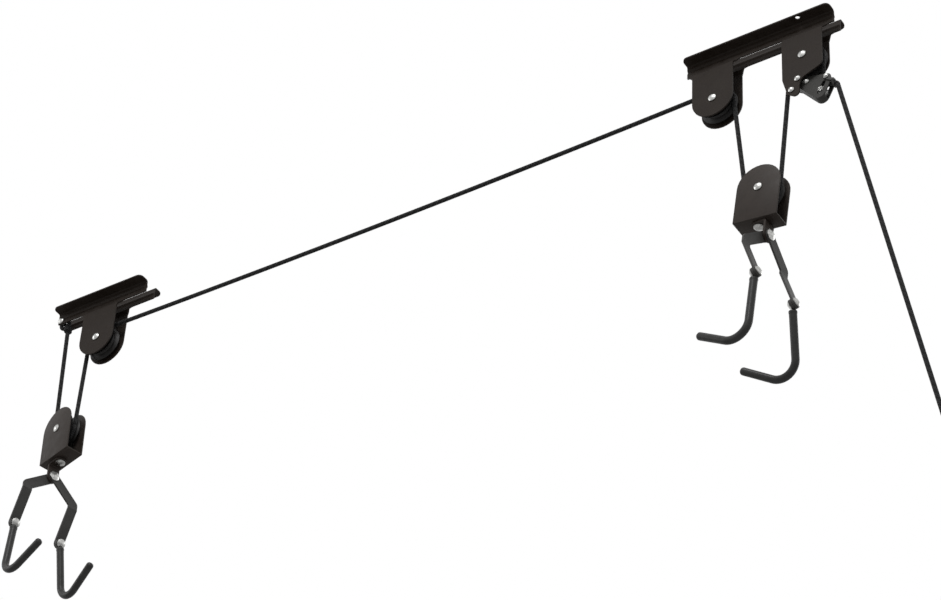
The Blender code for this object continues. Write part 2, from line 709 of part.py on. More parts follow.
def eyelet(outer):
    """The wire ring that the free rope leaves through, with an ear on each end of the anvil's pin."""
    x, z = by_outer_axle(EYELET_PLACE)
    anvil_spot = by_outer_axle(ANVIL_PLACE)
    circle = [upright((x, z + up), y) for y, up in arc((0.0, 0.0), EYELET_RING_RADIUS, 0, 337.5, 15)]
    wire = tube_mesh("lock_eyelet", circle, EYELET_WIRE_RADIUS, 1, closed=True)
    ring = piece("lock_eyelet", wire, STEEL_BLACK)
    ear = hull([(x, z, EYELET_WIRE_RADIUS), (*anvil_spot, EYELET_EAR_RADIUS)])
    ears = []
    for sign in (-1, 1):
        middle = sign * (outer + RUN_GAP + EYELET_EAR / 2)
        ears.append(outline_mesh("eyelet_ear", ear, EYELET_EAR, axes((1, 0, 0), (0, 0, 1), (0, middle, 0))))
    shape_with(ring, joined("eyelet_ears", ears), "UNION")
    ends = (upright(anvil_spot, -2 * outer), upright(anvil_spot, 2 * outer))
    shape_with(ring, rod_mesh("eyelet_bore", ANVIL_PIN_RADIUS + HOLE_GAP, ends), "DIFFERENCE")


# Rope


def in_plane(points, y=0.0):
    return [(p[0], y, p[1]) for p in points]


def circle_arc(centre, radius, start, end, steps):
    """Points from the direction of start to that of end, the short way round by sign of the step."""
    a = math.atan2(start[1] - centre[1], start[0] - centre[0])
    b = math.atan2(end[1] - centre[1], end[0] - centre[0])
    while b > a:
        b -= math.tau
    return arc(centre, radius, math.degrees(a), math.degrees(b), steps)


def anticlockwise_arc(centre, radius, start, end, steps):
    return list(reversed(circle_arc(centre, radius, end, start, steps)))


def shortened(first, last, gap=ROPE_END_GAP):
    """A straight stretch whose two ends stop short of the neighbours."""
    first, last = Vector(first), Vector(last)
    step = (last - first).normalized() * gap
    return first + step, last - step


def along(first, last, count):
    first, last = Vector(first), Vector(last)
    return [tuple(first + (last - first) * i / count) for i in range(count + 1)]


def straight(name, first, last, pieces=1):
    a, b = shortened(first, last)
    return piece(name, tube_mesh(name, along(a, b, pieces), ROPE_RADIUS), ROPE_BLACK, smooth=True)


def curved(name, points):
    return piece(name, tube_mesh(name, points, ROPE_RADIUS), ROPE_BLACK, smooth=True)


def rear_block_side(sign):
    """Where a fall meets the turned rear block's sheave, at the height of its axle."""
    frame = block_frame(REAR_BLOCK_PLACE, REAR_BLOCK_TILT, REAR_BLOCK_TURN)
    return frame @ Vector((sign * PITCH_RADIUS, 0.0, 0.0))


def block_frame(place, tilt, turn):
    return Matrix.Translation(place) @ Euler((0.0, tilt, turn), "XYZ").to_matrix().to_4x4()


def rope():
    inner = (INNER_AXLE_X, -AXLE_DROP)
    outer = (OUTER_AXLE_X, -OUTER_AXLE_DROP)
    rear = (REAR_AXLE_X, -AXLE_DROP)
    block = (FRONT_BLOCK_PLACE[0], FRONT_BLOCK_PLACE[2])

    anchor_knot()
    knot_foot = knot_place() + Vector((0.0, 0.0, -KNOT_LENGTH / 2))
    straight("rope_fall_1", knot_foot, rear_block_side(-1))
    frame = block_frame(REAR_BLOCK_PLACE, REAR_BLOCK_TILT, REAR_BLOCK_TURN)
    bight = [frame @ Vector((x, 0.0, z)) for x, z in arc((0, 0), PITCH_RADIUS, 180, 360, 16)]
    curved("rope_bight_rear", [tuple(p) for p in bight])
    straight("rope_fall_2", rear_block_side(1), (REAR_AXLE_X - PITCH_RADIUS, 0.0, -AXLE_DROP))

    dip = math.degrees(4 * ROPE_SAG / (INNER_AXLE_X - REAR_AXLE_X))
    rear_arc = arc(rear, PITCH_RADIUS, 180, 90 - dip, 8)
    down, low_left = tangent(inner, PITCH_RADIUS, block, -PITCH_RADIUS)
    leaving = math.degrees(math.atan2(down.y - inner[1], down.x - inner[0]))
    inner_arc = arc(inner, PITCH_RADIUS, 90 + dip, leaving, 8)
    span = []
    left, right = Vector(rear_arc[-1]), Vector(inner_arc[0])
    for step in range(1, 24):
        t = step / 24
        level = left.y + (right.y - left.y) * t
        span.append((left.x + (right.x - left.x) * t, level - 4 * ROPE_SAG * t * (1 - t)))
    curved("rope_run", in_plane(rear_arc + span + inner_arc))
    straight("rope_fall_3", (down.x, 0.0, down.y), (low_left.x, 0.0, low_left.y))

    low_right, up = tangent(block, -PITCH_RADIUS, outer, PITCH_RADIUS)
    curved("rope_bight_front", in_plane(anticlockwise_arc(block, PITCH_RADIUS, low_left, low_right, 16)))
    straight("rope_fall_4", (low_right.x, 0.0, low_right.y), (up.x, 0.0, up.y))

    anvil_spot = by_outer_axle(ANVIL_PLACE)
    leave, meet = tangent(outer, PITCH_RADIUS, anvil_spot, -anvil_turn())
    under, over = anvil_to_eyelet()
    rim = rim_place()
    free_heading = Vector((math.sin(FREE_LEAN), -math.cos(FREE_LEAN)))
    free_left = Vector((-free_heading.y, free_heading.x))
    start = rim + free_left * rim_turn()
    haul = circle_arc(outer, PITCH_RADIUS, up, leave, 14)
    haul += anticlockwise_arc(anvil_spot, anvil_turn(), meet, under, 4)
    haul += circle_arc(rim, rim_turn(), over, start, 4)
    curved("rope_haul", in_plane(haul))
    end = start + free_heading * FREE_LENGTH
    straight("rope_free", (start.x, 0.0, start.y), (end.x, 0.0, end.y), 24)
    end_knot(end, free_heading)


def loop_radius():
    return ANCHOR_RIVET_RADIUS + ROPE_RADIUS + LOOP_SLACK


def knot_place():
    return Vector((ANCHOR_X + loop_radius(), 0.0, -ANCHOR_DROP - KNOT_DROP))


def anchor_knot():
    """The loop round the anchor rivet and the knot that closes it, one solid."""
    circle = in_plane(arc((ANCHOR_X, -ANCHOR_DROP), loop_radius(), 0, 336, 14))
    name = "rope_anchor_knot"
    loop = piece(name, tube_mesh(name, circle, ROPE_RADIUS, closed=True), ROPE_BLACK)
    spot = knot_place()
    half = Vector((0.0, 0.0, KNOT_LENGTH / 2))
    shape_with(loop, rod_mesh("knot_body", KNOT_RADIUS, (spot - half, spot + half)), "UNION")


def end_knot(end, heading):
    lip = ROPE_RADIUS + END_KNOT_LIP
    upper, lower, foot = END_KNOT_DROPS
    body = [(0.0, 0.0), (lip, 0.0), (END_KNOT_RADIUS, -upper), (END_KNOT_RADIUS, -lower)]
    body += [(lip, -foot), (ROPE_RADIUS, -END_TAIL_DROP), (0.0, -END_TAIL_DROP)]
    lean = -math.atan2(heading.x, -heading.y)
    start = Vector((end.x, 0.0, end.y))
    knot = piece(
        "rope_end_knot", profile_mesh("rope_end_knot", body), ROPE_BLACK, None, start, (0.0, lean, 0.0)
    )
    turned(knot, 16)


# Lifting blocks


def block_outline(inset, drop):
    """A tombstone, in (x, z) about the axle."""
    radius = BLOCK_HALF_WIDTH - inset
    points = arc((0.0, BLOCK_TOP_CENTRE), radius, 0, 180, 16)
    return points + [(-radius, -drop), (radius, -drop)]


def block_body(name, parent):
    outer = BLOCK_OUTER_Y
    body = piece(
        name, outline_mesh(name, block_outline(0.0, BLOCK_DROP), 2 * outer, UPRIGHT), STEEL_BLACK, parent
    )
    bevelled(body, BLOCK_EDGE, 2, 60)
    inside = outer - BLOCK_SHEET
    wide = 2 * BLOCK_HALF_WIDTH
    shape_with(
        body, box_mesh(name, (-wide, -inside, -BLOCK_DROP + BLOCK_SHEET), (wide, inside, wide)), "DIFFERENCE"
    )
    bore = rod_mesh(name, AXLE_RADIUS + HOLE_GAP, ((0, -2 * outer, 0), (0, 2 * outer, 0)))
    shape_with(body, bore, "DIFFERENCE")
    ends = ((0, 0, -BLOCK_DROP - CUT_MARGIN), (0, 0, -BLOCK_DROP + BLOCK_SHEET + CUT_MARGIN))
    shape_with(body, rod_mesh(name, SWIVEL_RIVET_RADIUS + HOLE_GAP, ends), "DIFFERENCE")


def swivel_rivet(name, parent):
    """Through the block's web and the swivel bracket, head inside the block."""
    top = -BLOCK_DROP + BLOCK_SHEET + RUN_GAP
    low = -BLOCK_DROP - 2 * RUN_GAP - SWIVEL_SHEET
    wide, high = SWIVEL_HEAD_CROWN
    crown = (wide * SWIVEL_RIVET_HEAD, high * SWIVEL_HEAD_HEIGHT)
    points = [(0.0, top + SWIVEL_HEAD_HEIGHT), (crown[0], top + crown[1])]
    points += [(SWIVEL_RIVET_HEAD, top + SWIVEL_HEAD_EDGE), (SWIVEL_RIVET_HEAD, top)]
    points += [(SWIVEL_RIVET_RADIUS, top), (SWIVEL_RIVET_RADIUS, low)]
    points += [(SWIVEL_RIVET_HEAD, low), (SWIVEL_RIVET_HEAD, low - SWIVEL_HEAD_EDGE)]
    points += [(crown[0], low - crown[1]), (0.0, low - SWIVEL_HEAD_HEIGHT)]
    turned(piece(name, profile_mesh(name, points), STEEL_ZINC, parent), 16)


def swivel_bracket(name, parent):
    """An angle: a leaf under the block's web and a tongue down to the arms' pivot."""
    top = -BLOCK_DROP - RUN_GAP
    sheet = SWIVEL_SHEET
    inner = TONGUE_OFFSET - sheet / 2
    foot = -PIVOT_DROP - SWIVEL_WIDTH / 2
    bend_middle = (inner - SWIVEL_BEND, top - sheet - SWIVEL_BEND)
    section = [(-SWIVEL_WIDTH / 2, top), (-SWIVEL_WIDTH / 2, top - sheet)]
    section += arc(bend_middle, SWIVEL_BEND, 90, 0, 3)
    section += [(inner, foot), (inner + sheet, foot)]
    section += arc(bend_middle, SWIVEL_BEND + sheet, 0, 90, 4)
    made = piece(name, outline_mesh(name, section, SWIVEL_WIDTH, UPRIGHT), STEEL_BLACK, parent)
    half = SWIVEL_WIDTH / 2
    face = [(-half, 0.0), *arc((0.0, -PIVOT_DROP), half, 180, 360, 10), (half, 0.0)]
    shape_with(made, outline_mesh(name, face, 4 * TONGUE_OFFSET, ACROSS), "INTERSECT")
    leaf = [(2 * TONGUE_OFFSET, -half), (2 * TONGUE_OFFSET, half), *arc((0.0, 0.0), half, 90, 270, 10)]
    shape_with(made, outline_mesh(name, leaf, 3 * PIVOT_DROP, LEVEL), "INTERSECT")
    hole = ((0.0, 0.0, top + CUT_MARGIN), (0.0, 0.0, top - sheet - CUT_MARGIN))
    shape_with(made, rod_mesh(name, SWIVEL_RIVET_RADIUS + HOLE_GAP, hole), "DIFFERENCE")
    hole = ((inner - CUT_MARGIN, 0.0, -PIVOT_DROP), (inner + sheet + CUT_MARGIN, 0.0, -PIVOT_DROP))
    shape_with(made, rod_mesh(name, PIVOT_RADIUS + HOLE_GAP, hole), "DIFFERENCE")


def arm_offset(side):
    """The x of an arm's upper strap: the far arm lies outside the tongue, the near arm inside it."""
    return TONGUE_OFFSET + side * (SWIVEL_SHEET / 2 + RUN_GAP + ARM_SHEET / 2)


def arm_corner(side):
    """The fold line's middle and the lower strap's end, in the arm's own frame about the pivot."""
    fold = Vector((0.0, side * ARM_UPPER * math.sin(ARM_SPREAD), -ARM_UPPER * math.cos(ARM_SPREAD)))
    rivet = fold + Vector((math.sin(ARM_FOLD), 0.0, -math.cos(ARM_FOLD))) * ARM_LOWER
    return fold, rivet


def upper_strap(fold, side):
    """From the pivot's round end out to an elbow and straight down to the fold line, in (y, z)."""
    half = ARM_WIDTH / 2 - FOLD_PROUD
    out, low = abs(fold.y), fold.z
    elbow = (out, low + ELBOW_RISE)
    lean = math.atan2(elbow[0], -elbow[1])
    turn = math.degrees(lean)
    points = arc((0.0, 0.0), half, turn + 180, turn, 8) + arc(elbow, half, turn, 0, 4)
    points += [(out + half, low), (out - half, low)]
    run = (out - half + half * math.cos(lean)) / math.sin(lean)
    points.append((out - half, -half * math.sin(lean) - run * math.cos(lean)))
    return [(side * y, z) for y, z in points]


def arm(name, parent, side):
    """A strap from the pivot out to an elbow and a fold line, then down and outward to the hook's rivet."""
    fold, rivet_spot = arm_corner(side)
    half = ARM_WIDTH / 2
    made = piece(name, outline_mesh(name, upper_strap(fold, side), ARM_SHEET, ACROSS), STEEL_BLACK, parent)

    down = (rivet_spot - fold).normalized()
    lower = [(fold.y + half, 0.0), (fold.y - half, 0.0)]
    lower += [(fold.y + y, z - ARM_LOWER) for y, z in arc((0.0, 0.0), half, 180, 360, 8)]
    lower_frame = axes((0, 1, 0), -down, (0.0, 0.0, fold.z))
    shape_with(made, outline_mesh(name, lower, ARM_SHEET, lower_frame), "UNION")
    bend_line = [fold + Vector((0.0, end * (half + FOLD_PROUD), 0.0)) for end in (-1, 1)]
    shape_with(made, rod_mesh(name, ARM_SHEET / 2 - FOLD_PROUD, bend_line), "UNION")
    pivot_hole = ((-2 * ARM_SHEET, 0.0, 0.0), (2 * ARM_SHEET, 0.0, 0.0))
    shape_with(made, rod_mesh(name, PIVOT_RADIUS + HOLE_GAP, pivot_hole), "DIFFERENCE")
    across = strap_normal() * 2 * ARM_SHEET
    ends = (rivet_spot - across, rivet_spot + across)
    shape_with(made, rod_mesh(name, HOOK_RIVET_RADIUS + HOLE_GAP, ends), "DIFFERENCE")


def strap_normal():
    """Square to the lower strap, on its upper, outer side."""
    return Vector((math.cos(ARM_FOLD), 0.0, math.sin(ARM_FOLD)))


def hook_line():
    """The rod's centre line below its rivet, in the hook's frame: x toward the tip side, z up."""
    bottom = -SLEEVE_START - HOOK_STRAIGHT
    points = [(0.0, -HOOK_RIVET_HEAD - 2 * RUN_GAP), (0.0, -SLEEVE_START)]
    points += [(0.0, -SLEEVE_START - HOOK_STRAIGHT / 2)]
    bend = arc((-HOOK_BEND, bottom), HOOK_BEND, 0, -90 - math.degrees(HOOK_RISE), 9)
    points += bend
    x, z = bend[-1]
    for step in (HOOK_TIP / 2, HOOK_TIP):
        points.append((x - step * math.cos(HOOK_RISE), z + step * math.sin(HOOK_RISE)))
    return [(x, 0.0, z) for x, z in points]


def hook(name, parent, fold):
    """Rod with a flattened eye, and its sleeve; the frame's origin is on the rivet's axis at the eye."""
    line = hook_line()
    rod_line = [*line[:-1], shorten_tip(line, ROD_END_GAP)]
    rod = piece(f"{name}_hook_rod", tube_mesh(name, rod_line, ROD_RADIUS, 1), STEEL_BLACK, parent)
    eye_frame = Matrix.Rotation(-fold, 4, "Y")
    half = EYE_THICKNESS / 2
    eye = rod_mesh(name, EYE_RADIUS, (eye_frame @ Vector((-half, 0, 0)), eye_frame @ Vector((half, 0, 0))))
    shape_with(rod, eye, "UNION")
    ends = (eye_frame @ Vector((-2 * EYE_THICKNESS, 0, 0)), eye_frame @ Vector((2 * EYE_THICKNESS, 0, 0)))
    shape_with(rod, rod_mesh(name, HOOK_RIVET_RADIUS + HOLE_GAP, ends), "DIFFERENCE")
    sleeve_line = line[1:]
    sleeve_mesh = tube_mesh(name, sleeve_line, SLEEVE_RADIUS, 2)
    sleeve = piece(f"{name}_hook_sleeve", sleeve_mesh, VINYL_GREY, parent, smooth=True)
    top = [(0.0, 0.0, -SLEEVE_START + CUT_MARGIN)]
    bore = top + sleeve_line[1:-1] + [shorten_tip(line, SLEEVE_END_GAP)]
    shape_with(sleeve, tube_mesh(name, bore, ROD_RADIUS + RUN_GAP, 1), "DIFFERENCE")


def shorten_tip(line, gap):
    last, before = Vector(line[-1]), Vector(line[-2])
    return tuple(last - (last - before).normalized() * gap)


def hook_group(name, swivel, side):
    """One arm with its rivet and hook, on empties at the pivot and at the hook's rivet."""
    pivot = place_at(f"{name}_arm_axis", (arm_offset(side), 0.0, -PIVOT_DROP), parent=swivel)
    arm(f"{name}_arm", pivot, side)
    spot = arm_corner(side)[1]
    normal = strap_normal()
    eye_side = spot - normal * (ARM_SHEET / 2 + RUN_GAP + EYE_THICKNESS / 2)
    reach = (ARM_SHEET + RUN_GAP + EYE_THICKNESS) / 2 + RUN_GAP
    middle = spot - normal * (EYE_THICKNESS + RUN_GAP) / 2
    rivet(
        f"{name}_hook_rivet", HOOK_RIVET_RADIUS, HOOK_RIVET_HEAD, reach, pivot, middle,
        (0.0, math.pi / 2 - ARM_FOLD, 0.0), HOOK_HEAD_HEIGHT,
    )
    lean = math.radians(HOOK_LEANS[name]) * side
    holder = place_at(f"{name}_hook_axis", eye_side, parent=pivot)
    holder.rotation_euler = Matrix.Rotation(lean, 3, normal).to_euler("XYZ")
    hook(name, holder, ARM_FOLD)


def lifting_block(name, place, tilt, turn, swivel_turn, sides):
    """A block and all that hangs from it; sides gives each arm's side of the swivel bracket's own frame."""
    body = place_at(f"{name}_block_axis", place, (0.0, tilt, turn))
    block_body(f"{name}_block_frame", body)
    inside = BLOCK_OUTER_Y - BLOCK_SHEET - RUN_GAP
    sheave(f"{name}_block_sheave", body, (0.0, 0.0, 0.0), inside)
    rivet(f"{name}_block_axle", AXLE_RADIUS, AXLE_HEAD_RADIUS, BLOCK_OUTER_Y + RUN_GAP, body, (0.0, 0.0, 0.0))
    swivel_rivet(f"{name}_swivel_rivet", body)
    swivel = place_at(f"{name}_swivel_axis", (0.0, 0.0, 0.0), (0.0, 0.0, swivel_turn), body)
    swivel_bracket(f"{name}_swivel_bracket", swivel)
    reach = SWIVEL_SHEET / 2 + 2 * RUN_GAP + ARM_SHEET
    rivet(
        f"{name}_arm_pivot", PIVOT_RADIUS, PIVOT_HEAD, reach, swivel, (TONGUE_OFFSET, 0.0, -PIVOT_DROP),
        (0.0, math.pi / 2, 0.0),
    )
    for word, side in sides.items():
        hook_group(f"{name}_{word}", swivel, side)


clear_scene()
brackets()
bracket_sheaves()
lock()
rope()
lifting_block(
    "front", FRONT_BLOCK_PLACE, FRONT_BLOCK_TILT, 0.0, FRONT_SWIVEL_TURN, {"near": -1, "far": 1},
)
lifting_block(
    "rear", REAR_BLOCK_PLACE, REAR_BLOCK_TILT, REAR_BLOCK_TURN, REAR_SWIVEL_TURN, {"near": 1, "far": -1},
)
bpy.context.view_layer.update()
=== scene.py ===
# %% [markdown]
# A bike ceiling hoist hangs from two short brackets under a ceiling. One rope runs over grooved
# wheels in the brackets and round two hanging blocks, and each block carries a pair of sleeved hooks.
# The measured parts come in as a fixed frame, in metres. This script dresses them: it gives every
# steel, nylon and vinyl part its finish, and makes the braided rope, its knots and the soft hook
# sleeves as new pieces.

# %% Load the frame
import json
import math

import bmesh
import bpy
from mathutils import Matrix, Vector


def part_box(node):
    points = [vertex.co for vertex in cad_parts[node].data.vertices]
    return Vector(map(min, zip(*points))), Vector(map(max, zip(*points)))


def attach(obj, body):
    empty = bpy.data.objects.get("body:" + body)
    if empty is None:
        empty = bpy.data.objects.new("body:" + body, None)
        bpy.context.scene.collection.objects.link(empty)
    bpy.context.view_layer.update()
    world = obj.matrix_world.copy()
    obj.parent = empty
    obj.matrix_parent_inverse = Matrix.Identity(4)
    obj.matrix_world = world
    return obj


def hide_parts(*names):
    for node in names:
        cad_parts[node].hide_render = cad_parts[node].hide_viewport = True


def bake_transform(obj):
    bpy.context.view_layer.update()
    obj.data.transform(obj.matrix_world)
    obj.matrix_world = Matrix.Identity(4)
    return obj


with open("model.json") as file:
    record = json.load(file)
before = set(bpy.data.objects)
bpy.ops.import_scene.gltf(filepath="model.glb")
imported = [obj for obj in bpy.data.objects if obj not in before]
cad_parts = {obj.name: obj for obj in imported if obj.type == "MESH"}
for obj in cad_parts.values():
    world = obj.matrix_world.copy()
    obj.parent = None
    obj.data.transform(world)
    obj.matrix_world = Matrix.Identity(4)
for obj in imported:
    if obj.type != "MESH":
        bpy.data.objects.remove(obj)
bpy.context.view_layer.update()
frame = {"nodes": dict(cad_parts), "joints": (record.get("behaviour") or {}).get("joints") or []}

NODES = frame["nodes"]
JOINTS = {joint["name"]: joint for joint in frame["joints"]}

# %% [markdown]
# The photograph looks up at the hoist from below, turned a little to the side. A camera is placed by
# three angles here: the turn round the vertical, the tilt upward, and a small roll about the line of
# sight. Its matrix is built from the three directions that these angles give, so that nothing depends
# on the order of rotations.

# %% Camera
VIEW_TURN = math.radians(34.80)
VIEW_TILT = math.radians(39.64)
VIEW_ROLL = math.radians(3.66)
EYE = Vector((1.268, -2.434, -2.706))
LENS_IN_PIXELS = 3029.6
PICTURE_WIDTH = 941
SENSOR_WIDTH = 36.0
CLIP_START = 0.05


def camera():
    """The camera of the photograph, placed and aimed."""
    ahead = Vector((
        -math.sin(VIEW_TURN) * math.cos(VIEW_TILT),
        math.cos(VIEW_TURN) * math.cos(VIEW_TILT),
        math.sin(VIEW_TILT),
    ))
    level = Vector((math.cos(VIEW_TURN), math.sin(VIEW_TURN), 0.0))
    upward = level.cross(ahead)
    right = math.cos(VIEW_ROLL) * level + math.sin(VIEW_ROLL) * upward
    up = math.cos(VIEW_ROLL) * upward - math.sin(VIEW_ROLL) * level
    data = bpy.data.cameras.new("photo_camera")
    data.sensor_width = SENSOR_WIDTH
    data.lens = LENS_IN_PIXELS / PICTURE_WIDTH * SENSOR_WIDTH
    data.clip_start = CLIP_START
    made = bpy.data.objects.new("photo_camera", data)
    bpy.context.scene.collection.objects.link(made)
    turn = Matrix((right, up, -ahead)).transposed().to_4x4()
    made.matrix_world = Matrix.Translation(EYE) @ turn
    bpy.context.scene.camera = made
    return made


print("lens", round(camera().data.lens, 1), "mm")

# %% [markdown]
# A shader node group is a small machine with named sockets. The helpers below make one, add nodes to
# it and wire them, so that each effect further down reads as a short list of steps.

# %% Node helpers
def add(tree, kind, values=(), **settings):
    """One node, its settings, and the plain values of its named inputs."""
    node = tree.nodes.new(kind)
    for name, value in settings.items():
        setattr(node, name, value)
    for name, value in dict(values).items():
        node.inputs[name].default_value = value
    return node


def group(name, inputs, outputs):
    """An empty node group with the given sockets; returns the tree and its input and output nodes."""
    tree = bpy.data.node_groups.new(name, "ShaderNodeTree")
    for label, kind, value in inputs:
        socket = tree.interface.new_socket(label, in_out="INPUT", socket_type="NodeSocket" + kind)
        socket.default_value = value
    for label, kind in outputs:
        tree.interface.new_socket(label, in_out="OUTPUT", socket_type="NodeSocket" + kind)
    return tree, tree.nodes.new("NodeGroupInput"), tree.nodes.new("NodeGroupOutput")


def use(tree, made, **values):
    """A group placed in a material with its own values; an underscore in a name is a space."""
    node = tree.nodes.new("ShaderNodeGroup")
    node.node_tree = made
    for name, value in values.items():
        node.inputs[name.replace("_", " ")].default_value = value
    return node


def maths(tree, operation, first, second=0.0):
    """One arithmetic node; each operand is a number or a socket."""
    node = add(tree, "ShaderNodeMath", operation=operation)
    for socket, value in zip(node.inputs, (first, second)):
        if isinstance(value, (int, float)):
            socket.default_value = value
        else:
            tree.links.new(value, socket)
    return node.outputs[0]


def ramped(tree, source, low, high, bottom=0.0, top=1.0):
    """A value stretched from one range to another, and held inside it."""
    names = ("From Min", "From Max", "To Min", "To Max")
    node = add(tree, "ShaderNodeMapRange", dict(zip(names, (low, high, bottom, top))))
    tree.links.new(source, node.inputs["Value"])
    return node.outputs["Result"]


def mixed(tree, share, first, second):
    """Two colours mixed by a mask; each colour is a tuple or a socket."""
    node = add(tree, "ShaderNodeMix", data_type="RGBA")
    tree.links.new(share, node.inputs["Factor"])
    for label, value in (("A", first), ("B", second)):
        socket = [s for s in node.inputs if s.name == label and s.type == "RGBA"][0]
        if isinstance(value, tuple):
            socket.default_value = (*value, 1.0)
        else:
            tree.links.new(value, socket)
    return [s for s in node.outputs if s.type == "RGBA"][0]


# %% [markdown]
# Powder is sprayed on as dust and melts into a skin with a fine orange-peel surface. Two layers of
# noise give that skin: a broad one for the slow waves and a fine one for the grain. The same group,
# with other values, serves for moulded nylon and dipped vinyl, which differ in scale more than kind.

# %% Skin group: the fine unevenness of a coated or moulded surface
SKIN_DETAIL = {"Grain Size": 2.0, "Wave Size": 3.0}
SKIN_CONTRAST = 0.55
PATCH_LIMITS = (0.35, 0.65)


def skin_group():
    inputs = [
        ("Grain Size", "Float", 0.0007), ("Wave Size", "Float", 0.006), ("Grain Share", "Float", 0.5),
    ]
    tree, start, end = group("skin", inputs, [("Height", "Float"), ("Patches", "Float")])
    where = add(tree, "ShaderNodeTexCoord").outputs["Object"]
    heights = []
    for label, detail in SKIN_DETAIL.items():
        noise = add(tree, "ShaderNodeTexNoise", {"Detail": detail, "Roughness": SKIN_CONTRAST})
        tree.links.new(where, noise.inputs["Vector"])
        tree.links.new(maths(tree, "DIVIDE", 1.0, start.outputs[label]), noise.inputs["Scale"])
        heights.append(noise.outputs["Fac"])
    share = start.outputs["Grain Share"]
    fine = maths(tree, "MULTIPLY", heights[0], share)
    broad = maths(tree, "MULTIPLY", heights[1], maths(tree, "SUBTRACT", 1.0, share))
    tree.links.new(maths(tree, "ADD", fine, broad), end.inputs["Height"])
    tree.links.new(ramped(tree, heights[1], *PATCH_LIMITS), end.inputs["Patches"])
    return tree


SKIN = skin_group()
print("skin sockets:", [item.name for item in SKIN.interface.items_tree])

# %% [markdown]
# Folded sheet and stamped straps get a thin paler line painted along their edges: a painted highlight,
# where a rounded edge would catch the light. A Bevel node returns the normal that a rounded edge would
# have. Where it differs from the true normal there is an edge, and noise breaks the line up. The same
# mask paints a darker rim on plated parts, which is painted shade.

# %% Edge group: a mask along the edges
EDGE_COSINES = (0.995, 0.80)
BREAK_SCALE = 220.0
BREAK_LIMITS = (0.35, 0.60)


def edge_group():
    inputs = [("Width", "Float", 0.0006), ("Breaks", "Float", 0.4)]
    tree, start, end = group("edge_line", inputs, [("Mask", "Float")])
    bevel = add(tree, "ShaderNodeBevel", samples=4)
    tree.links.new(start.outputs["Width"], bevel.inputs["Radius"])
    true_normal = add(tree, "ShaderNodeNewGeometry").outputs["Normal"]
    product = add(tree, "ShaderNodeVectorMath", operation="DOT_PRODUCT")
    tree.links.new(bevel.outputs["Normal"], product.inputs[0])
    tree.links.new(true_normal, product.inputs[1])
    line = ramped(tree, product.outputs["Value"], *EDGE_COSINES)
    where = add(tree, "ShaderNodeTexCoord").outputs["Object"]
    noise = add(tree, "ShaderNodeTexNoise", {"Scale": BREAK_SCALE, "Detail": 3.0})
    tree.links.new(where, noise.inputs["Vector"])
    kept = ramped(tree, noise.outputs["Fac"], *BREAK_LIMITS)
    broken = maths(tree, "MULTIPLY", maths(tree, "SUBTRACT", 1.0, kept), start.outputs["Breaks"])
    shown = maths(tree, "MULTIPLY", line, maths(tree, "SUBTRACT", 1.0, broken))
    tree.links.new(shown, end.inputs["Mask"])
    return tree


EDGE = edge_group()

# %% [markdown]
# Handling leaves a little dust and fine rubbed spots. One group gives both as masks: dust settles on
# what faces up, and rubbing shows as scattered short marks.

# %% Handling group: dust and rubbed spots
CLOUD_SCALE = 0.35
MARK_SCALE = 2.0
DUST_LIMITS = (0.45, 0.75)
RUB_LIMITS = (0.63, 0.72)
UPWARD_LIMITS = (-0.2, 0.9)
DUST_UNDERNEATH = 0.15


def handling_group():
    inputs = [("Spot Size", "Float", 0.004), ("Amount", "Float", 0.3)]
    tree, start, end = group("handling", inputs, [("Dust", "Float"), ("Rubbed", "Float")])
    where = add(tree, "ShaderNodeTexCoord").outputs["Object"]
    scale = maths(tree, "DIVIDE", 1.0, start.outputs["Spot Size"])
    cloud = add(tree, "ShaderNodeTexNoise", {"Detail": 5.0, "Roughness": 0.7})
    marks = add(tree, "ShaderNodeTexNoise", {"Detail": 4.0, "Distortion": 1.4})
    for noise, times in ((cloud, CLOUD_SCALE), (marks, MARK_SCALE)):
        tree.links.new(where, noise.inputs["Vector"])
        tree.links.new(maths(tree, "MULTIPLY", scale, times), noise.inputs["Scale"])
    normal = add(tree, "ShaderNodeNewGeometry").outputs["Normal"]
    parts = add(tree, "ShaderNodeSeparateXYZ")
    tree.links.new(normal, parts.inputs[0])
    upward = ramped(tree, parts.outputs["Z"], *UPWARD_LIMITS, DUST_UNDERNEATH, 1.0)
    dust = maths(tree, "MULTIPLY", ramped(tree, cloud.outputs["Fac"], *DUST_LIMITS), upward)
    tree.links.new(maths(tree, "MULTIPLY", dust, start.outputs["Amount"]), end.inputs["Dust"])
    rubbed = ramped(tree, marks.outputs["Fac"], *RUB_LIMITS)
    tree.links.new(maths(tree, "MULTIPLY", rubbed, start.outputs["Amount"]), end.inputs["Rubbed"])
    return tree


HANDLING = handling_group()
print("groups:", [g.name for g in bpy.data.node_groups])

# %% [markdown]
# Each finish is a material of its own. The Principled shader stays in the material, and the groups
# above feed its colour, roughness and normal.

# %% Material helper
def material(name, metallic, specular=0.5):
    """A new material with its Principled shader; returns the material, its tree and the shader."""
    made = bpy.data.materials.new(name)
    made.use_nodes = True
    shader = made.node_tree.nodes["Principled BSDF"]
    shader.inputs["Metallic"].default_value = metallic
    shader.inputs["Specular IOR Level"].default_value = specular
    return made, made.node_tree, shader


def patchy(tree, skin, limits):
    """A value that drifts between two limits with the skin's patches."""
    return ramped(tree, skin.outputs["Patches"], 0.0, 1.0, *limits)


def raised(tree, height, depth, shader, strength=1.0):
    """A Bump node of a real depth in metres, fed to the shader's normal."""
    bump = add(tree, "ShaderNodeBump", {"Distance": depth, "Strength": strength})
    tree.links.new(height, bump.inputs["Height"])
    tree.links.new(bump.outputs["Normal"], shader.inputs["Normal"])
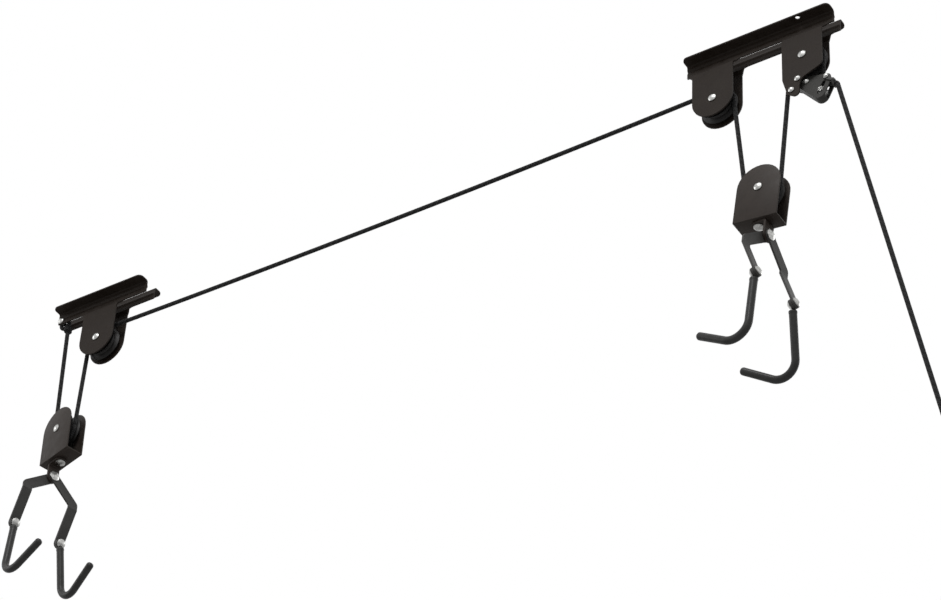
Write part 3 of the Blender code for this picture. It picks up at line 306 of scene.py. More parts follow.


# %% [markdown]
# The sheet steel is coated satin black with a warm cast. Seen from below, its upright faces look
# dark brown-grey and its underside nearly black, which is the light's doing. The brackets, blocks and
# arms share one coat, but the brackets are given a shade deeper than the blocks, which is painted
# shade, and the arms a shade paler and greyer, the paler tone being painted light. Each coat is given
# by its deeper and its paler colour.

# %% Coated steel
# painted shade: a deeper copy of the coat for the brackets
BRACKET_COAT_PAINTED_SHADE = ((0.0135, 0.0095, 0.0070), (0.0175, 0.0128, 0.0100))
BLOCK_COAT = ((0.0215, 0.0162, 0.0132), (0.0275, 0.0212, 0.0178))
# painted light: a paler copy of the coat for the arms, standing in for light from below
ARM_COAT_PAINTED_LIGHT = ((0.0370, 0.0360, 0.0340), (0.0470, 0.0460, 0.0440))
LOCK_COAT = ((0.0255, 0.0248, 0.0230), (0.0325, 0.0316, 0.0295))
# painted highlight: the paler colour of the line along coated edges
EDGE_HIGHLIGHT_TONE = (0.075, 0.068, 0.063)
DUST_TONE = (0.110, 0.100, 0.092)
EDGE_HIGHLIGHT_STRENGTH = 0.40
COAT_ROUGHNESS = (0.46, 0.58)
DUST_ROUGHNESS = 0.4
COAT_DEPTH = 0.00010


def coated_steel(name, coat, shine, grain=0.0009):
    """Powder coated steel."""
    made, tree, shader = material(name, 0.0, shine)
    skin = use(tree, SKIN, Grain_Size=grain, Wave_Size=0.012, Grain_Share=0.6)
    edge = use(tree, EDGE, Width=0.0004, Breaks=0.2)
    handling = use(tree, HANDLING, Spot_Size=0.006, Amount=0.12)
    colour = mixed(tree, skin.outputs["Patches"], *coat)
    colour = mixed(tree, handling.outputs["Dust"], colour, DUST_TONE)
    # painted highlight: a paler line along the edges
    line = maths(tree, "MULTIPLY", edge.outputs["Mask"], EDGE_HIGHLIGHT_STRENGTH)
    tree.links.new(mixed(tree, line, colour, EDGE_HIGHLIGHT_TONE), shader.inputs["Base Color"])
    duller = maths(tree, "MULTIPLY", handling.outputs["Dust"], DUST_ROUGHNESS)
    rough = maths(tree, "ADD", patchy(tree, skin, COAT_ROUGHNESS), duller)
    tree.links.new(rough, shader.inputs["Roughness"])
    raised(tree, skin.outputs["Height"], COAT_DEPTH, shader, strength=0.8)
    return made


BRACKET_STEEL = coated_steel("bracket_steel", BRACKET_COAT_PAINTED_SHADE, shine=0.10)
BLOCK_STEEL = coated_steel("block_steel", BLOCK_COAT, shine=0.16)
ARM_STEEL = coated_steel("arm_steel", ARM_COAT_PAINTED_LIGHT, shine=0.20, grain=0.0007)
LOCK_STEEL = coated_steel("lock_steel", LOCK_COAT, shine=0.16)

# %% [markdown]
# Rivets, axles and the lock's rollers are zinc plated. Plated heads are pressed, not turned: they
# show cloudy patches and short scratches in no one direction, and a darker rim is painted along their
# edges as painted shade.
# The locking roller is knurled, which is a grid of fine ridges cut across its barrel.

# %% Plated steel
ZINC = (0.54, 0.54, 0.525)
ZINC_DULL = (0.25, 0.25, 0.24)
# painted shade: the darker rim along plated edges
ZINC_RIM_SHADE = (0.13, 0.13, 0.125)
DULLNESS = 0.6
ZINC_ROUGHNESS = (0.22, 0.40)
ZINC_DEPTH = 0.00005
BARREL_RADIUS = 0.0062
RIDGE_PITCH = 0.0011
RIDGE_DEPTH = 0.00018


def plated_steel(name):
    """Zinc plated steel; returns the material, its tree and the shader."""
    made, tree, shader = material(name, 1.0)
    skin = use(tree, SKIN, Grain_Size=0.0004, Wave_Size=0.0025, Grain_Share=0.35)
    handling = use(tree, HANDLING, Spot_Size=0.0016, Amount=DULLNESS)
    colour = mixed(tree, handling.outputs["Rubbed"], ZINC, ZINC_DULL)
    cloudy = maths(tree, "MULTIPLY", skin.outputs["Patches"], DULLNESS)
    colour = mixed(tree, cloudy, colour, ZINC_DULL)
    # painted shade: a darker rim along the edges of plated parts
    rim = use(tree, EDGE, Width=0.0010, Breaks=0.3)
    tree.links.new(mixed(tree, rim.outputs["Mask"], colour, ZINC_RIM_SHADE), shader.inputs["Base Color"])
    tree.links.new(patchy(tree, skin, ZINC_ROUGHNESS), shader.inputs["Roughness"])
    raised(tree, skin.outputs["Height"], ZINC_DEPTH, shader, strength=0.6)
    return made, tree, shader


def knurled_steel(name, axis_place):
    """Plated steel with ridges slanting both ways round a barrel that lies along Y."""
    made, tree, shader = plated_steel(name)
    where = add(tree, "ShaderNodeTexCoord").outputs["Object"]
    shifted = add(tree, "ShaderNodeVectorMath", operation="SUBTRACT")
    tree.links.new(where, shifted.inputs[0])
    shifted.inputs[1].default_value = axis_place
    parts = add(tree, "ShaderNodeSeparateXYZ")
    tree.links.new(shifted.outputs[0], parts.inputs[0])
    turn = maths(tree, "ARCTAN2", parts.outputs["Z"], parts.outputs["X"])
    around = maths(tree, "MULTIPLY", turn, BARREL_RADIUS)
    waves = []
    for slant in (1.0, -1.0):
        run = maths(tree, "ADD", around, maths(tree, "MULTIPLY", parts.outputs["Y"], slant))
        waves.append(maths(tree, "SINE", maths(tree, "MULTIPLY", run, math.tau / RIDGE_PITCH)))
    raised(tree, maths(tree, "MINIMUM", *waves), RIDGE_DEPTH, shader)
    return made


ZINC_STEEL = plated_steel("zinc_steel")[0]
print("plated:", ZINC_STEEL.name)

# %% [markdown]
# The rope wheels are moulded from black nylon: matt, a little cloudy, with the fine grain of the
# mould. The hooks' sleeves are soft vinyl, pulled on or dipped: greyer, with a gentle sheen that shows
# as one pale line along the bend.

# %% Nylon and vinyl
def moulded(name, shine, deep, pale, roughness, grain, depth):
    """A moulded finish between two colours, with a grain of the given size and depth."""
    made, tree, shader = material(name, 0.0, shine)
    skin = use(tree, SKIN, Grain_Size=grain, Wave_Size=0.007, Grain_Share=0.55)
    handling = use(tree, HANDLING, Spot_Size=0.004, Amount=0.12)
    colour = mixed(tree, skin.outputs["Patches"], deep, pale)
    colour = mixed(tree, handling.outputs["Dust"], colour, DUST_TONE)
    tree.links.new(colour, shader.inputs["Base Color"])
    tree.links.new(patchy(tree, skin, roughness), shader.inputs["Roughness"])
    raised(tree, skin.outputs["Height"], depth, shader)
    return made


NYLON = moulded(
    "wheel_nylon", shine=0.24, deep=(0.0100, 0.0095, 0.0092), pale=(0.0150, 0.0142, 0.0138),
    roughness=(0.45, 0.56), grain=0.0006, depth=0.00008,
)
VINYL = moulded(
    "sleeve_vinyl", shine=0.14, deep=(0.027, 0.027, 0.026), pale=(0.035, 0.035, 0.034),
    roughness=(0.34, 0.44), grain=0.0011, depth=0.00012,
)

# %% [markdown]
# The rope is a braid: eight strands wind one way round the core and eight the other, each going over
# and under in turn. The tubes made further down carry their own coordinates, one turn of U round the
# rope and one unit of V for each turn of a strand. In these coordinates the two sets of strands are
# two slanting waves, and a third wave says which of them is on top. Every fourth strand is a little
# paler, which shows from afar as flecks along the rope.

# %% Braid material
STRANDS = 8
# The braid's tone runs between these two; where it follows the strands' height it is painted shade.
BRAID_DARK = (0.003, 0.003, 0.003)
BRAID_PALE = (0.044, 0.044, 0.045)
BRAID_SHINE = 0.12
BRAID_SHEEN = 0.04
BRAID_ROUGHNESS = 0.72
BRAID_DEPTH = 0.0006
CROSSING_LIMITS = (-0.35, 0.35)
UNDER_HEIGHT = 0.25
THREAD_SCALE = 2600.0
THREAD_TONE = 0.35
THREAD_HEIGHT = 0.12
FLECK_STRANDS = 4
FLECK_DARK = 0.45
TONE_LIMITS = (0.25, 1.35)


def braided(name):
    """Two sets of strands that cross over and under, as colour and as height."""
    made, tree, shader = material(name, 0.0, BRAID_SHINE)
    parts = add(tree, "ShaderNodeSeparateXYZ")
    tree.links.new(add(tree, "ShaderNodeTexCoord").outputs["UV"], parts.inputs[0])
    turns = maths(tree, "MULTIPLY", parts.outputs["X"], STRANDS * math.tau)
    winds = maths(tree, "MULTIPLY", parts.outputs["Y"], STRANDS * math.tau)
    right = maths(tree, "ADD", turns, winds)
    left = maths(tree, "SUBTRACT", turns, winds)
    over = ramped(tree, maths(tree, "SINE", turns), *CROSSING_LIMITS)
    crowns = [ramped(tree, maths(tree, "COSINE", run), -1.0, 1.0) for run in (right, left)]
    under = maths(tree, "SUBTRACT", 1.0, over)
    first = maths(tree, "MULTIPLY", crowns[0], maths(tree, "ADD", over, UNDER_HEIGHT))
    second = maths(tree, "MULTIPLY", crowns[1], maths(tree, "ADD", under, UNDER_HEIGHT))
    height = maths(tree, "MAXIMUM", first, second)
    noise = add(tree, "ShaderNodeTexNoise", {"Scale": THREAD_SCALE, "Detail": 2.0})
    tree.links.new(add(tree, "ShaderNodeTexCoord").outputs["Object"], noise.inputs["Vector"])
    threads = noise.outputs["Fac"]
    slow = maths(tree, "COSINE", maths(tree, "MULTIPLY", right, 1.0 / FLECK_STRANDS))
    fleck = ramped(tree, slow, -1.0, 1.0, FLECK_DARK, 1.0)
    # The tone follows the strands' height, so the grooves between strands and the strand that passes
    # under are painted darker: painted shade. The thread noise and the paler fourth strands are the
    # rope's own tone.
    tone = maths(tree, "ADD", height, maths(tree, "MULTIPLY", threads, THREAD_TONE))
    tone = ramped(tree, maths(tree, "MULTIPLY", tone, fleck), *TONE_LIMITS)
    tree.links.new(mixed(tree, tone, BRAID_DARK, BRAID_PALE), shader.inputs["Base Color"])
    shader.inputs["Roughness"].default_value = BRAID_ROUGHNESS
    shader.inputs["Sheen Weight"].default_value = BRAID_SHEEN
    fuzz = maths(tree, "ADD", height, maths(tree, "MULTIPLY", threads, THREAD_HEIGHT))
    raised(tree, fuzz, BRAID_DEPTH, shader)
    return made


BRAID = braided("rope_braid")
print("materials:", len(bpy.data.materials))

# %% [markdown]
# The CAD solids are exact but faceted, and their edges are knife sharp. Their meshes stay as they
# are, and modifiers do the rest: Weld joins the doubled corners, Bevel rounds the edges of sheet parts
# by a third of a millimetre, and Edge Split keeps sharp only what is really an edge.

# %% Dress the CAD nodes
WELD_REACH = 0.000002
SHEET_EDGE = 0.00035
BEVEL_ANGLE = math.radians(40.0)
CREASE = math.radians(32.0)


def dress(name, finish, rounded=0.0):
    """A finish and modifiers for one CAD node; rounded is the width of its broken edges."""
    node = NODES[name]
    mesh = node.data
    mesh.materials.clear()
    mesh.materials.append(finish)
    if "custom_normal" in mesh.attributes:
        mesh.attributes.remove(mesh.attributes["custom_normal"])
    for face in mesh.polygons:
        face.use_smooth = True
    weld = node.modifiers.new("weld", "WELD")
    weld.merge_threshold = WELD_REACH
    if rounded:
        bevel = node.modifiers.new("rounded", "BEVEL")
        bevel.width = rounded
        bevel.segments = 2
        bevel.limit_method = "ANGLE"
        bevel.angle_limit = BEVEL_ANGLE
        bevel.harden_normals = True
    split = node.modifiers.new("creases", "EDGE_SPLIT")
    split.split_angle = CREASE
    split.use_edge_sharp = False


for name in ("front_plate_near", "front_plate_far", "rear_plate_near", "rear_plate_far"):
    dress(name, BRACKET_STEEL, SHEET_EDGE)
dress("lock_housing", LOCK_STEEL, SHEET_EDGE)
for block in ("front", "rear"):
    dress(f"{block}_block_frame", BLOCK_STEEL, SHEET_EDGE)
    dress(f"{block}_swivel_bracket", BLOCK_STEEL, SHEET_EDGE)
    for side in ("near", "far"):
        dress(f"{block}_{side}_arm", ARM_STEEL, SHEET_EDGE)
        dress(f"{block}_{side}_hook_rod", ARM_STEEL)
        dress(f"{block}_{side}_hook_rivet", ZINC_STEEL)
    for part in ("swivel_rivet", "arm_pivot", "block_axle"):
        dress(f"{block}_{part}", ZINC_STEEL)
    dress(f"{block}_block_sheave", NYLON)
for name in ("inner", "outer", "rear"):
    dress(f"{name}_sheave", NYLON)
    dress(f"{name}_axle", ZINC_STEEL)
for name in (
    "anchor_rivet", "tail_rivet", "lock_rivet_1", "lock_rivet_2", "anvil_pin", "anvil_roller",
):
    dress(name, ZINC_STEEL)
dress("lock_eyelet", ARM_STEEL)
low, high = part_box("lock_roller")
dress("lock_roller", knurled_steel("knurled_steel", (low + high) / 2))
print("dressed:", sum(1 for node in NODES.values() if node.modifiers))

# %% [markdown]
# The rope's route is worked out as a rigger would: a straight stretch between two wheels touches both
# at a tangent, and on a wheel the rope follows an arc. The wheels' places come from the frame's
# joints, as X and Z, because all wheels but the rear block's lie in one upright plane.

# %% Route helpers
ROPE_RADIUS = 0.003
PITCH_RADIUS = 0.023


def arc(centre, radius, start, end, steps):
    """Points on an arc in degrees, both ends included."""
    spots = []
    for step in range(steps + 1):
        angle = math.radians(start + (end - start) * step / steps)
        spots.append((centre[0] + radius * math.cos(angle), centre[1] + radius * math.sin(angle)))
    return spots


def tangent(first, first_turn, second, second_turn):
    """Ends of the straight rope between two circles; a turn is a radius, positive on its left."""
    gap = Vector(second) - Vector(first)
    heading = math.atan2(gap.y, gap.x) - math.asin((first_turn - second_turn) / gap.length)
    left = Vector((-math.sin(heading), math.cos(heading)))
    return Vector(first) + left * first_turn, Vector(second) + left * second_turn


def bearing(centre, point):
    """The direction of a point from a centre, in degrees."""
    return math.degrees(math.atan2(point[1] - centre[1], point[0] - centre[0]))


def clockwise(centre, radius, start, end, steps):
    """An arc between two directions, turning clockwise as seen from the near side."""
    first, last = bearing(centre, start), bearing(centre, end)
    while last > first:
        last -= 360.0
    return arc(centre, radius, first, last, steps)


def anticlockwise(centre, radius, start, end, steps):
    """The same, turning the other way."""
    return list(reversed(clockwise(centre, radius, end, start, steps)))


def upright(points):
    """Flat points set in the hoist's upright plane."""
    return [Vector((p[0], 0.0, p[1])) for p in points]


def wheel(joint):
    """The place of a wheel's axle in the upright plane."""
    place = JOINTS[joint]["pos_m"]
    return (place[0], place[2])


# %% [markdown]
# A rope piece is a tube swept along its route. The route is first cut into equal steps. Then a ring
# of points is carried along it without twisting, which keeps the braid straight, and each ring narrows
# a little between the crossings of its strands, so that the outline isn't a perfect tube.

# %% Rope tube
RING = 20
STEP = 0.0016
BRAID_TURN = 0.020
SWELL = 0.04


def resampled(points, step):
    """The same route in equal steps."""
    kept = [points[0]]
    reach = [0.0]
    for first, second in zip(points, points[1:]):
        reach.append(reach[-1] + (second - first).length)
    count = max(2, round(reach[-1] / step))
    index = 0
    for number in range(1, count + 1):
        goal = reach[-1] * number / count
        while index < len(points) - 2 and reach[index + 1] < goal:
            index += 1
        share = (goal - reach[index]) / max(1e-9, reach[index + 1] - reach[index])
        kept.append(points[index].lerp(points[index + 1], min(1.0, share)))
    return kept


def headings(points):
    """The direction of the route at each of its points."""
    ahead = [(points[1] - points[0]).normalized()]
    for before, after in zip(points, points[2:]):
        ahead.append((after - before).normalized())
    ahead.append((points[-1] - points[-2]).normalized())
    return ahead


def tube(name, points, radius, step=STEP, ring=RING, size=None, swell=SWELL, cap=0.0):
    """A closed tube with braid coordinates; size scales the radius by the share of the way along."""
    route = resampled(points, step)
    ahead = headings(route)
    side = ahead[0].orthogonal().normalized()
    bm = bmesh.new()
    layer = bm.loops.layers.uv.new("UVMap")
    rings = []
    for number, (place, direction) in enumerate(zip(route, ahead)):
        side = (side - direction * side.dot(direction)).normalized()
        other = direction.cross(side)
        share = number / (len(route) - 1)
        crossings = STRANDS * number * step / BRAID_TURN
        wave = 1.0 - swell * (0.5 - 0.5 * math.cos(math.tau * crossings))
        wide = radius * wave * (size(share) if size else 1.0)
        row = []
        for spot in range(ring):
            angle = math.tau * spot / ring
            outward = side * math.cos(angle) + other * math.sin(angle)
            row.append(bm.verts.new(place + outward * wide))
        rings.append(row)
    for number, (row, following) in enumerate(zip(rings, rings[1:])):
        for spot in range(ring):
            after = (spot + 1) % ring
            face = bm.faces.new((row[spot], row[after], following[after], following[spot]))
            face.smooth = True
            corners = ((0, 0), (1, 0), (1, 1), (0, 1))
            for loop, (across, along) in zip(face.loops, corners):
                loop[layer].uv = ((spot + across) / ring, (number + along) * step / BRAID_TURN)
    for end, facing in ((0, -1.0), (-1, 1.0)):
        row = rings[end]
        middle = bm.verts.new(route[end] + ahead[end] * facing * cap)
        for spot in range(ring):
            face = bm.faces.new((row[spot], row[(spot + 1) % ring], middle))
            face.smooth = bool(cap)
    bmesh.ops.recalc_face_normals(bm, faces=bm.faces)
    mesh = bpy.data.meshes.new(name)
    bm.to_mesh(mesh)
    bm.free()
    made = bpy.data.objects.new(name, mesh)
    bpy.context.scene.collection.objects.link(made)
    return made


def rope_piece(name, points, body, node):
    """A braided tube that stands for a CAD rope node and moves with a body."""
    made = tube(name, points, ROPE_RADIUS)
    made.data.materials.append(BRAID)
    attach(made, body)
    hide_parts(node)
    return made


# %% [markdown]
# The free end comes first, because its length and place settle how far the hoist reaches. It leaves
# the lock under a wire ring and runs out of the picture in a straight lean, held taut by something
# that isn't seen. It ends just outside the view in a knot.

# %% Free end of the rope
ANVIL_TURN = 0.0078
ANVIL = wheel("anvil_roller_spin")
EYELET_RIM = (0.0966, -0.1200)
RIM_TURN = 0.0048
FREE_LEAN = math.radians(11.4)
FREE_LENGTH = 0.585
FREE_STEPS = 24
END_GAP = 0.0005

free_heading = Vector((math.sin(FREE_LEAN), 0.0, -math.cos(FREE_LEAN)))
rim_side = Vector((-free_heading.z, 0.0, free_heading.x))
free_start = Vector((EYELET_RIM[0], 0.0, EYELET_RIM[1])) + rim_side * RIM_TURN
free_end = free_start + free_heading * FREE_LENGTH
free_route = []
for step in range(FREE_STEPS + 1):
    reach = END_GAP + (FREE_LENGTH - 2 * END_GAP) * step / FREE_STEPS
    free_route.append(free_start + free_heading * reach)
free_rope = rope_piece("rope_free_braid", free_route, "brackets", "rope_free")
print("free end leaves at", [round(x, 4) for x in free_route[0]])

# %% [markdown]
# The knot on the free end is a plain overhand knot: the rope goes round itself once and through its
# own loop. That path is the simplest knotted curve there is, a trefoil, drawn out so that its two
# ends leave along the rope. A frayed tail hangs under it.

# %% End knot
KNOT_MIDDLE = 0.0065
KNOT_WIDTH = 0.0042
KNOT_HALF_LENGTH = 0.0052
KNOT_ROPE = 0.0026
KNOT_STEPS = 60
KNOT_OPENING = 0.06
SIDE_WAVE = 1.1
LONG_WAVE = 0.9
WAVE_SUM = 1.6
KNOT_LIFT = 0.72
FINE_STEP = 0.0008
TAIL_START = 0.001
TAIL_LENGTH = 0.028
TAIL_STEPS = 8
TAIL_ROPE = 0.95 * ROPE_RADIUS
FRAY_START = 0.8
FRAY_SPREAD = 0.25


def overhand(middle, ahead, sideways):
    """Route of an overhand knot about a line."""
    third = ahead.cross(sideways)
    route = []
    for step in range(KNOT_STEPS + 1):
        turn = math.tau * (KNOT_OPENING + (1.0 - 2 * KNOT_OPENING) * step / KNOT_STEPS)
        across = KNOT_WIDTH * (math.sin(turn) + SIDE_WAVE * math.sin(2 * turn)) / WAVE_SUM
        along = -KNOT_HALF_LENGTH * (math.cos(turn) - LONG_WAVE * math.cos(2 * turn)) / WAVE_SUM
        lift = KNOT_WIDTH * math.sin(3 * turn) * KNOT_LIFT
        route.append(middle + ahead * along + sideways * across + third * lift)
    return route


def frayed(share):
    """An even tail that spreads near its end."""
    return 1.0 + FRAY_SPREAD * max(0.0, share - FRAY_START) / (1.0 - FRAY_START)


knot_route = overhand(free_end + free_heading * KNOT_MIDDLE, free_heading, Vector((0, 1, 0)))
end_knot = tube("rope_end_overhand", knot_route, KNOT_ROPE, step=FINE_STEP)
tail_route = []
for step in range(TAIL_STEPS + 1):
    reach = TAIL_START + TAIL_LENGTH * step / TAIL_STEPS
    tail_route.append(free_end + free_heading * reach)
tail = tube("rope_end_tail", tail_route, TAIL_ROPE, size=frayed)
for made in (end_knot, tail):
    made.data.materials.append(BRAID)
    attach(made, "brackets")
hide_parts("rope_end_knot")

# %% [markdown]
# The working rope starts at a rivet in the plain bracket, goes down round the rear block and up over
# the rear wheel, across to the other bracket, down round the front block, up over the outer wheel and
# out through the lock. The long run between the brackets sags a little, so it leaves both wheels at a
# small dip. The falls, which lengthen as the load goes down, are made as fixed straight pieces between
# the brackets and their blocks.

# %% Working rope
INNER = wheel("inner_sheave_spin")
OUTER = wheel("outer_sheave_spin")
REAR = wheel("rear_sheave_spin")
FRONT_BLOCK = wheel("front_block_sheave_spin")
ROPE_SAG = 0.0055
SPAN_STEPS = 48
FALL_STEPS = 12
WHEEL_STEPS = 16
BIGHT_STEPS = 24
OUTER_STEPS = 20
LOCK_STEPS = 8


def straight(first, last):
    """A straight route whose two ends stop short of the neighbours."""
    gap = (last - first).normalized() * END_GAP
    first, last = first + gap, last - gap
    return [first.lerp(last, step / FALL_STEPS) for step in range(FALL_STEPS + 1)]


def fall(name, node, top, bottom, block):
    """A vertical stretch between a bracket and a block, made as one fixed piece."""
    route = straight(top, bottom)
    made = tube(name, route, ROPE_RADIUS)
    made.data.materials.append(BRAID)
    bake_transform(made)
    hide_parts(node)


dip = math.degrees(4 * ROPE_SAG / (INNER[0] - REAR[0]))
rear_arc = arc(REAR, PITCH_RADIUS, 180, 90 - dip, WHEEL_STEPS)
down, low_left = tangent(INNER, PITCH_RADIUS, FRONT_BLOCK, -PITCH_RADIUS)
inner_arc = arc(INNER, PITCH_RADIUS, 90 + dip, bearing(INNER, down), WHEEL_STEPS)
span_start, span_end = Vector(rear_arc[-1]), Vector(inner_arc[0])
span = []
for step in range(1, SPAN_STEPS):
    share = step / SPAN_STEPS
    spot = span_start.lerp(span_end, share)
    span.append((spot.x, spot.y - 4 * ROPE_SAG * share * (1 - share)))
rope_piece("rope_run_braid", upright(rear_arc + span + inner_arc), "brackets", "rope_run")

low_right, up = tangent(FRONT_BLOCK, -PITCH_RADIUS, OUTER, PITCH_RADIUS)
bight = anticlockwise(FRONT_BLOCK, PITCH_RADIUS, low_left, low_right, BIGHT_STEPS)
rope_piece("rope_bight_front_braid", upright(bight), "front_bight", "rope_bight_front")
fall("rope_fall_3_braid", "rope_fall_3", *upright((down, low_left)), "front")
fall("rope_fall_4_braid", "rope_fall_4", *upright((up, low_right)), "front")

leave, meet = tangent(OUTER, PITCH_RADIUS, ANVIL, -ANVIL_TURN)
under, over = tangent(ANVIL, -ANVIL_TURN, EYELET_RIM, RIM_TURN)
haul = clockwise(OUTER, PITCH_RADIUS, up, leave, OUTER_STEPS)
haul += anticlockwise(ANVIL, ANVIL_TURN, meet, under, LOCK_STEPS)
haul += clockwise(EYELET_RIM, RIM_TURN, over, (free_start.x, free_start.z), LOCK_STEPS)
rope_piece("rope_haul_braid", upright(haul), "brackets", "rope_haul")
print("run", round((span_end - span_start).length, 3), "m between the wheels")

# %% [markdown]
# The rear block hangs turned about the vertical, so its bight lies in its own plane. The joint's axis
# is the wheel's axle, and the direction square to it and to the vertical is where the rope leaves.

# %% Rear bight, falls and anchor
REAR_TILT = math.radians(-3.0)
ANCHOR_KNOT_RADIUS = 0.0058

rear_joint = JOINTS["rear_block_sheave_spin"]
rear_centre = Vector(rear_joint["pos_m"])
rear_axle = Vector(rear_joint["axis"]).normalized()
outward = rear_axle.cross(Vector((0, 0, 1))).normalized()
outward = Matrix.Rotation(REAR_TILT, 3, rear_axle) @ outward
downward = rear_axle.cross(outward).normalized()
rear_bight = []
for x, z in arc((0.0, 0.0), PITCH_RADIUS, 180, 360, BIGHT_STEPS):
    rear_bight.append(rear_centre + outward * x - downward * z)
rope_piece("rope_bight_rear_braid", rear_bight, "rear_bight", "rope_bight_rear")
rear_top = Vector((REAR[0] - PITCH_RADIUS, 0.0, REAR[1]))
fall("rope_fall_2_braid", "rope_fall_2", rear_top, rear_bight[-1], "rear")
low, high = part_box("rope_anchor_knot")
knot_foot = Vector((high.x - ANCHOR_KNOT_RADIUS, 0.0, low.z))
fall("rope_fall_1_braid", "rope_fall_1", knot_foot, rear_bight[0], "rear")
print("rear bight starts at", [round(c, 4) for c in rear_bight[0]])

# %% [markdown]
# At the anchor the rope makes a loop round the rivet and is tied back round itself. The knot is three
# close turns about the standing rope, which runs up through them into the loop.

# %% Anchor knot
LOOP_TURN = 0.0068
LOOP_ENDS = (-4, 330)
LOOP_STEPS = 40
KNOT_TURNS = 3
TURN_STEPS = 96
TURN_RADIUS = 0.0036
TURN_START = 0.0024
TURN_RISE = 0.0082
TURN_ROPE = 0.0023
STANDING_LENGTH = 0.015
ANCHOR_STEP = 0.0009

rivet_low, rivet_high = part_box("anchor_rivet")
rivet_place = (rivet_low + rivet_high) / 2
loop = []
for x, z in arc((0, 0), LOOP_TURN, *LOOP_ENDS, LOOP_STEPS):
    loop.append(Vector((rivet_place.x + x, 0.0, rivet_place.z + z)))
turns = []
for step in range(TURN_STEPS + 1):
    share = step / TURN_STEPS
    angle = math.tau * KNOT_TURNS * share
    x, y = TURN_RADIUS * math.cos(angle), TURN_RADIUS * math.sin(angle)
    turns.append(knot_foot + Vector((x, y, TURN_START + TURN_RISE * share)))
standing = [knot_foot, knot_foot + Vector((0.0, 0.0, STANDING_LENGTH))]
for name, route, radius in (
    ("rope_anchor_loop", loop, ROPE_RADIUS), ("rope_anchor_turns", turns, TURN_ROPE),
    ("rope_anchor_standing", standing, ROPE_RADIUS),
):
    made = tube(name, route, radius, step=ANCHOR_STEP)
    made.data.materials.append(BRAID)
    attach(made, "brackets")
    if name == "rope_anchor_loop":
        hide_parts("rope_anchor_knot")

# %% [markdown]
# Each hook is a bent rod in a vinyl sleeve. The sleeve is a tube along the rod: straight down from
# the eye, round one bend and out to a rounded tip. The hook's directions come from its joints: the
# arm's axle and the swivel's axis give the arm's own frame, the strap is folded in it by a known
# angle, and the hook leans about its rivet.

# %% Hook sleeves
ARM_FOLD = math.radians(24.2)
SLEEVE_RADIUS = 0.0050
SLEEVE_START = 0.0082
HOOK_STRAIGHT = 0.0600
HOOK_BEND = 0.0217
HOOK_RISE = 25.4
HOOK_TIP = 0.0450
BEND_STEPS = 28
HOOK_LEANS = {"front_near": 0.0, "front_far": 18.0, "rear_near": 4.9, "rear_far": -8.7}
SLEEVE_STEP = 0.0013
SLEEVE_RING = 24
SLEEVE_CAP = 0.0003
COLLAR_RISE = 0.09
COLLAR_PLACE = 0.012
COLLAR_SPREAD = 0.010
TIP_SHARE = 0.028
TIP_LEAST = 0.02


def hook_line():
    """The rod's line below its rivet: x away from the tip, z up."""
    bottom = -SLEEVE_START - HOOK_STRAIGHT
    points = [(0.0, -SLEEVE_START), (0.0, bottom)]
    points += arc((-HOOK_BEND, bottom), HOOK_BEND, 0, -90 - HOOK_RISE, BEND_STEPS)[1:]
    x, z = points[-1]
    rise = math.radians(HOOK_RISE)
    points.append((x - HOOK_TIP * math.cos(rise), z + HOOK_TIP * math.sin(rise)))
    return points


def hook_frame(name):
    """The hook's place and its two directions, from the joints it hangs on."""
    block = name.split("_")[0]
    across = Vector(JOINTS[f"{name}_arm_swing"]["axis"]).normalized()
    up_line = Vector(JOINTS[f"{block}_swivel_turn"]["axis"]).normalized()
    normal = across * math.cos(ARM_FOLD) + up_line * math.sin(ARM_FOLD)
    lean = Matrix.Rotation(math.radians(HOOK_LEANS[name]), 3, normal)
    return Vector(JOINTS[f"{name}_hook_swing"]["pos_m"]), lean @ across, lean @ up_line


def sleeve_size(share):
    """A rolled collar at the top, an even tube, and a rounded tip."""
    collar = COLLAR_RISE * math.exp(-((share - COLLAR_PLACE) / COLLAR_SPREAD) ** 2)
    tip = min(1.0, max(0.0, (1.0 - share) / TIP_SHARE))
    return (1.0 + collar) * math.sqrt(max(TIP_LEAST, 1.0 - (1.0 - tip) ** 2))


for name in HOOK_LEANS:
    place, across, up_line = hook_frame(name)
    route = [place + across * x + up_line * z for x, z in hook_line()]
    made = tube(
        f"{name}_sleeve", route, SLEEVE_RADIUS, step=SLEEVE_STEP, ring=SLEEVE_RING,
        size=sleeve_size, swell=0.0, cap=SLEEVE_CAP,
    )
    made.data.materials.append(VINYL)
    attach(made, f"{name}_hook")
    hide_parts(f"{name}_hook_sleeve")
    solid_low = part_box(f"{name}_hook_sleeve")[0]
    points = [made.matrix_world @ v.co for v in made.data.vertices]
    off = max(abs(min(p[i] for p in points) - solid_low[i]) for i in range(3))
    print(name, "sleeve is within", round(off * 1000, 2), "mm of its solid")

# %% [markdown]
# Plain studio: a pale floor far below, a white surround that only the camera and shiny or clear
# surfaces see at full strength, and soft lamps. The floor's own glow is for the camera alone, so that
# it looks pale from every side without lighting the hoist from below. The key lamp stands high on the
# near side: upright faces catch it and undersides stay dark, as in the photograph.

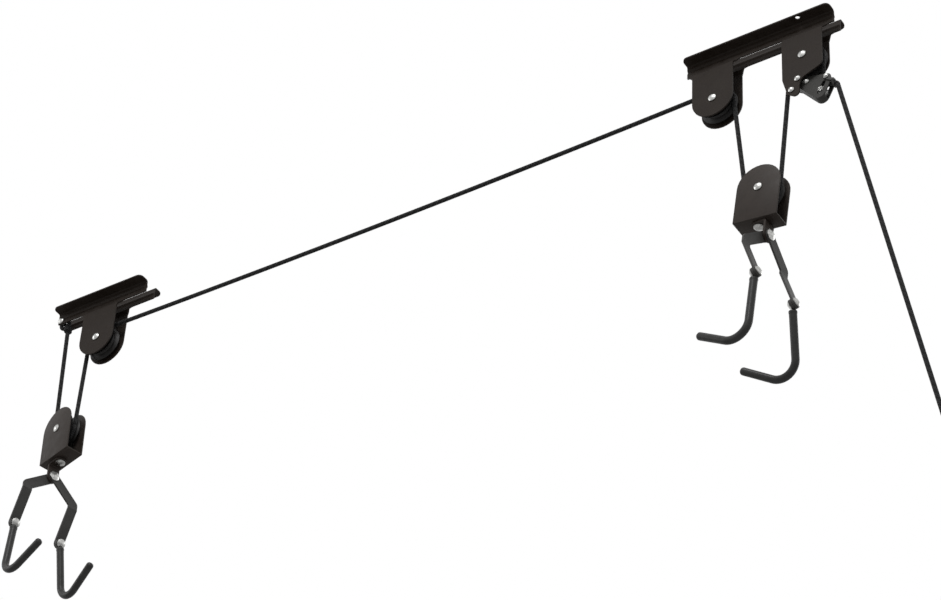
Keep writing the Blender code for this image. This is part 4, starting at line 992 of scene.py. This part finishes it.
# %% Studio
FLOOR_LEVEL = -5.0
FLOOR_HALF = 30.0
FLOOR_TONE = (0.82, 0.82, 0.82, 1.0)
FLOOR_ROUGHNESS = 0.9
FLOOR_GLOW = 0.30
SURROUND = 0.55
WHITE = (1.0, 1.0, 1.0, 1.0)
LIT_SPOT = Vector((-0.5, 0.0, -0.25))
LAMPS = {
    "key_lamp": {"place": (0.4, -3.0, 2.8), "size": 1.8, "power": 125.0},
    "side_lamp": {"place": (-3.2, -1.6, 0.6), "size": 1.4, "power": 14.0},
    "back_lamp": {"place": (0.8, 3.0, 1.2), "size": 1.4, "power": 16.0},
}


def floor():
    """A wide pale floor that glows for the camera alone."""
    bpy.ops.mesh.primitive_plane_add(size=2 * FLOOR_HALF, location=(0.0, 0.0, FLOOR_LEVEL))
    made = bpy.context.object
    made.name = "floor"
    finish, tree, shader = material("floor_paint", 0.0, 0.0)
    shader.inputs["Base Color"].default_value = FLOOR_TONE
    shader.inputs["Roughness"].default_value = FLOOR_ROUGHNESS
    shader.inputs["Emission Color"].default_value = WHITE
    seen = add(tree, "ShaderNodeLightPath").outputs["Is Camera Ray"]
    tree.links.new(maths(tree, "MULTIPLY", seen, FLOOR_GLOW), shader.inputs["Emission Strength"])
    made.data.materials.append(finish)


def surround():
    """A white world, dimmer for the light that it throws than for what is seen of it."""
    world = bpy.data.worlds.new("surround")
    bpy.context.scene.world = world
    world.use_nodes = True
    tree = world.node_tree
    background = tree.nodes["Background"]
    background.inputs["Color"].default_value = WHITE
    path = add(tree, "ShaderNodeLightPath")
    seen = maths(tree, "MAXIMUM", path.outputs["Is Camera Ray"], path.outputs["Is Transmission Ray"])
    seen = maths(tree, "MAXIMUM", seen, path.outputs["Is Glossy Ray"])
    strength = ramped(tree, seen, 0.0, 1.0, SURROUND, 1.0)
    tree.links.new(strength, background.inputs["Strength"])


def lamp(name, place, size, power):
    """A round soft lamp that faces the lit spot."""
    data = bpy.data.lights.new(name, "AREA")
    data.shape = "DISK"
    data.size = size
    data.energy = power
    made = bpy.data.objects.new(name, data)
    bpy.context.scene.collection.objects.link(made)
    made.location = place
    made.rotation_euler = (LIT_SPOT - Vector(place)).to_track_quat("-Z", "Y").to_euler()


floor()
surround()
for name, values in LAMPS.items():
    lamp(name, **values)
bpy.context.scene.view_settings.view_transform = "Standard"
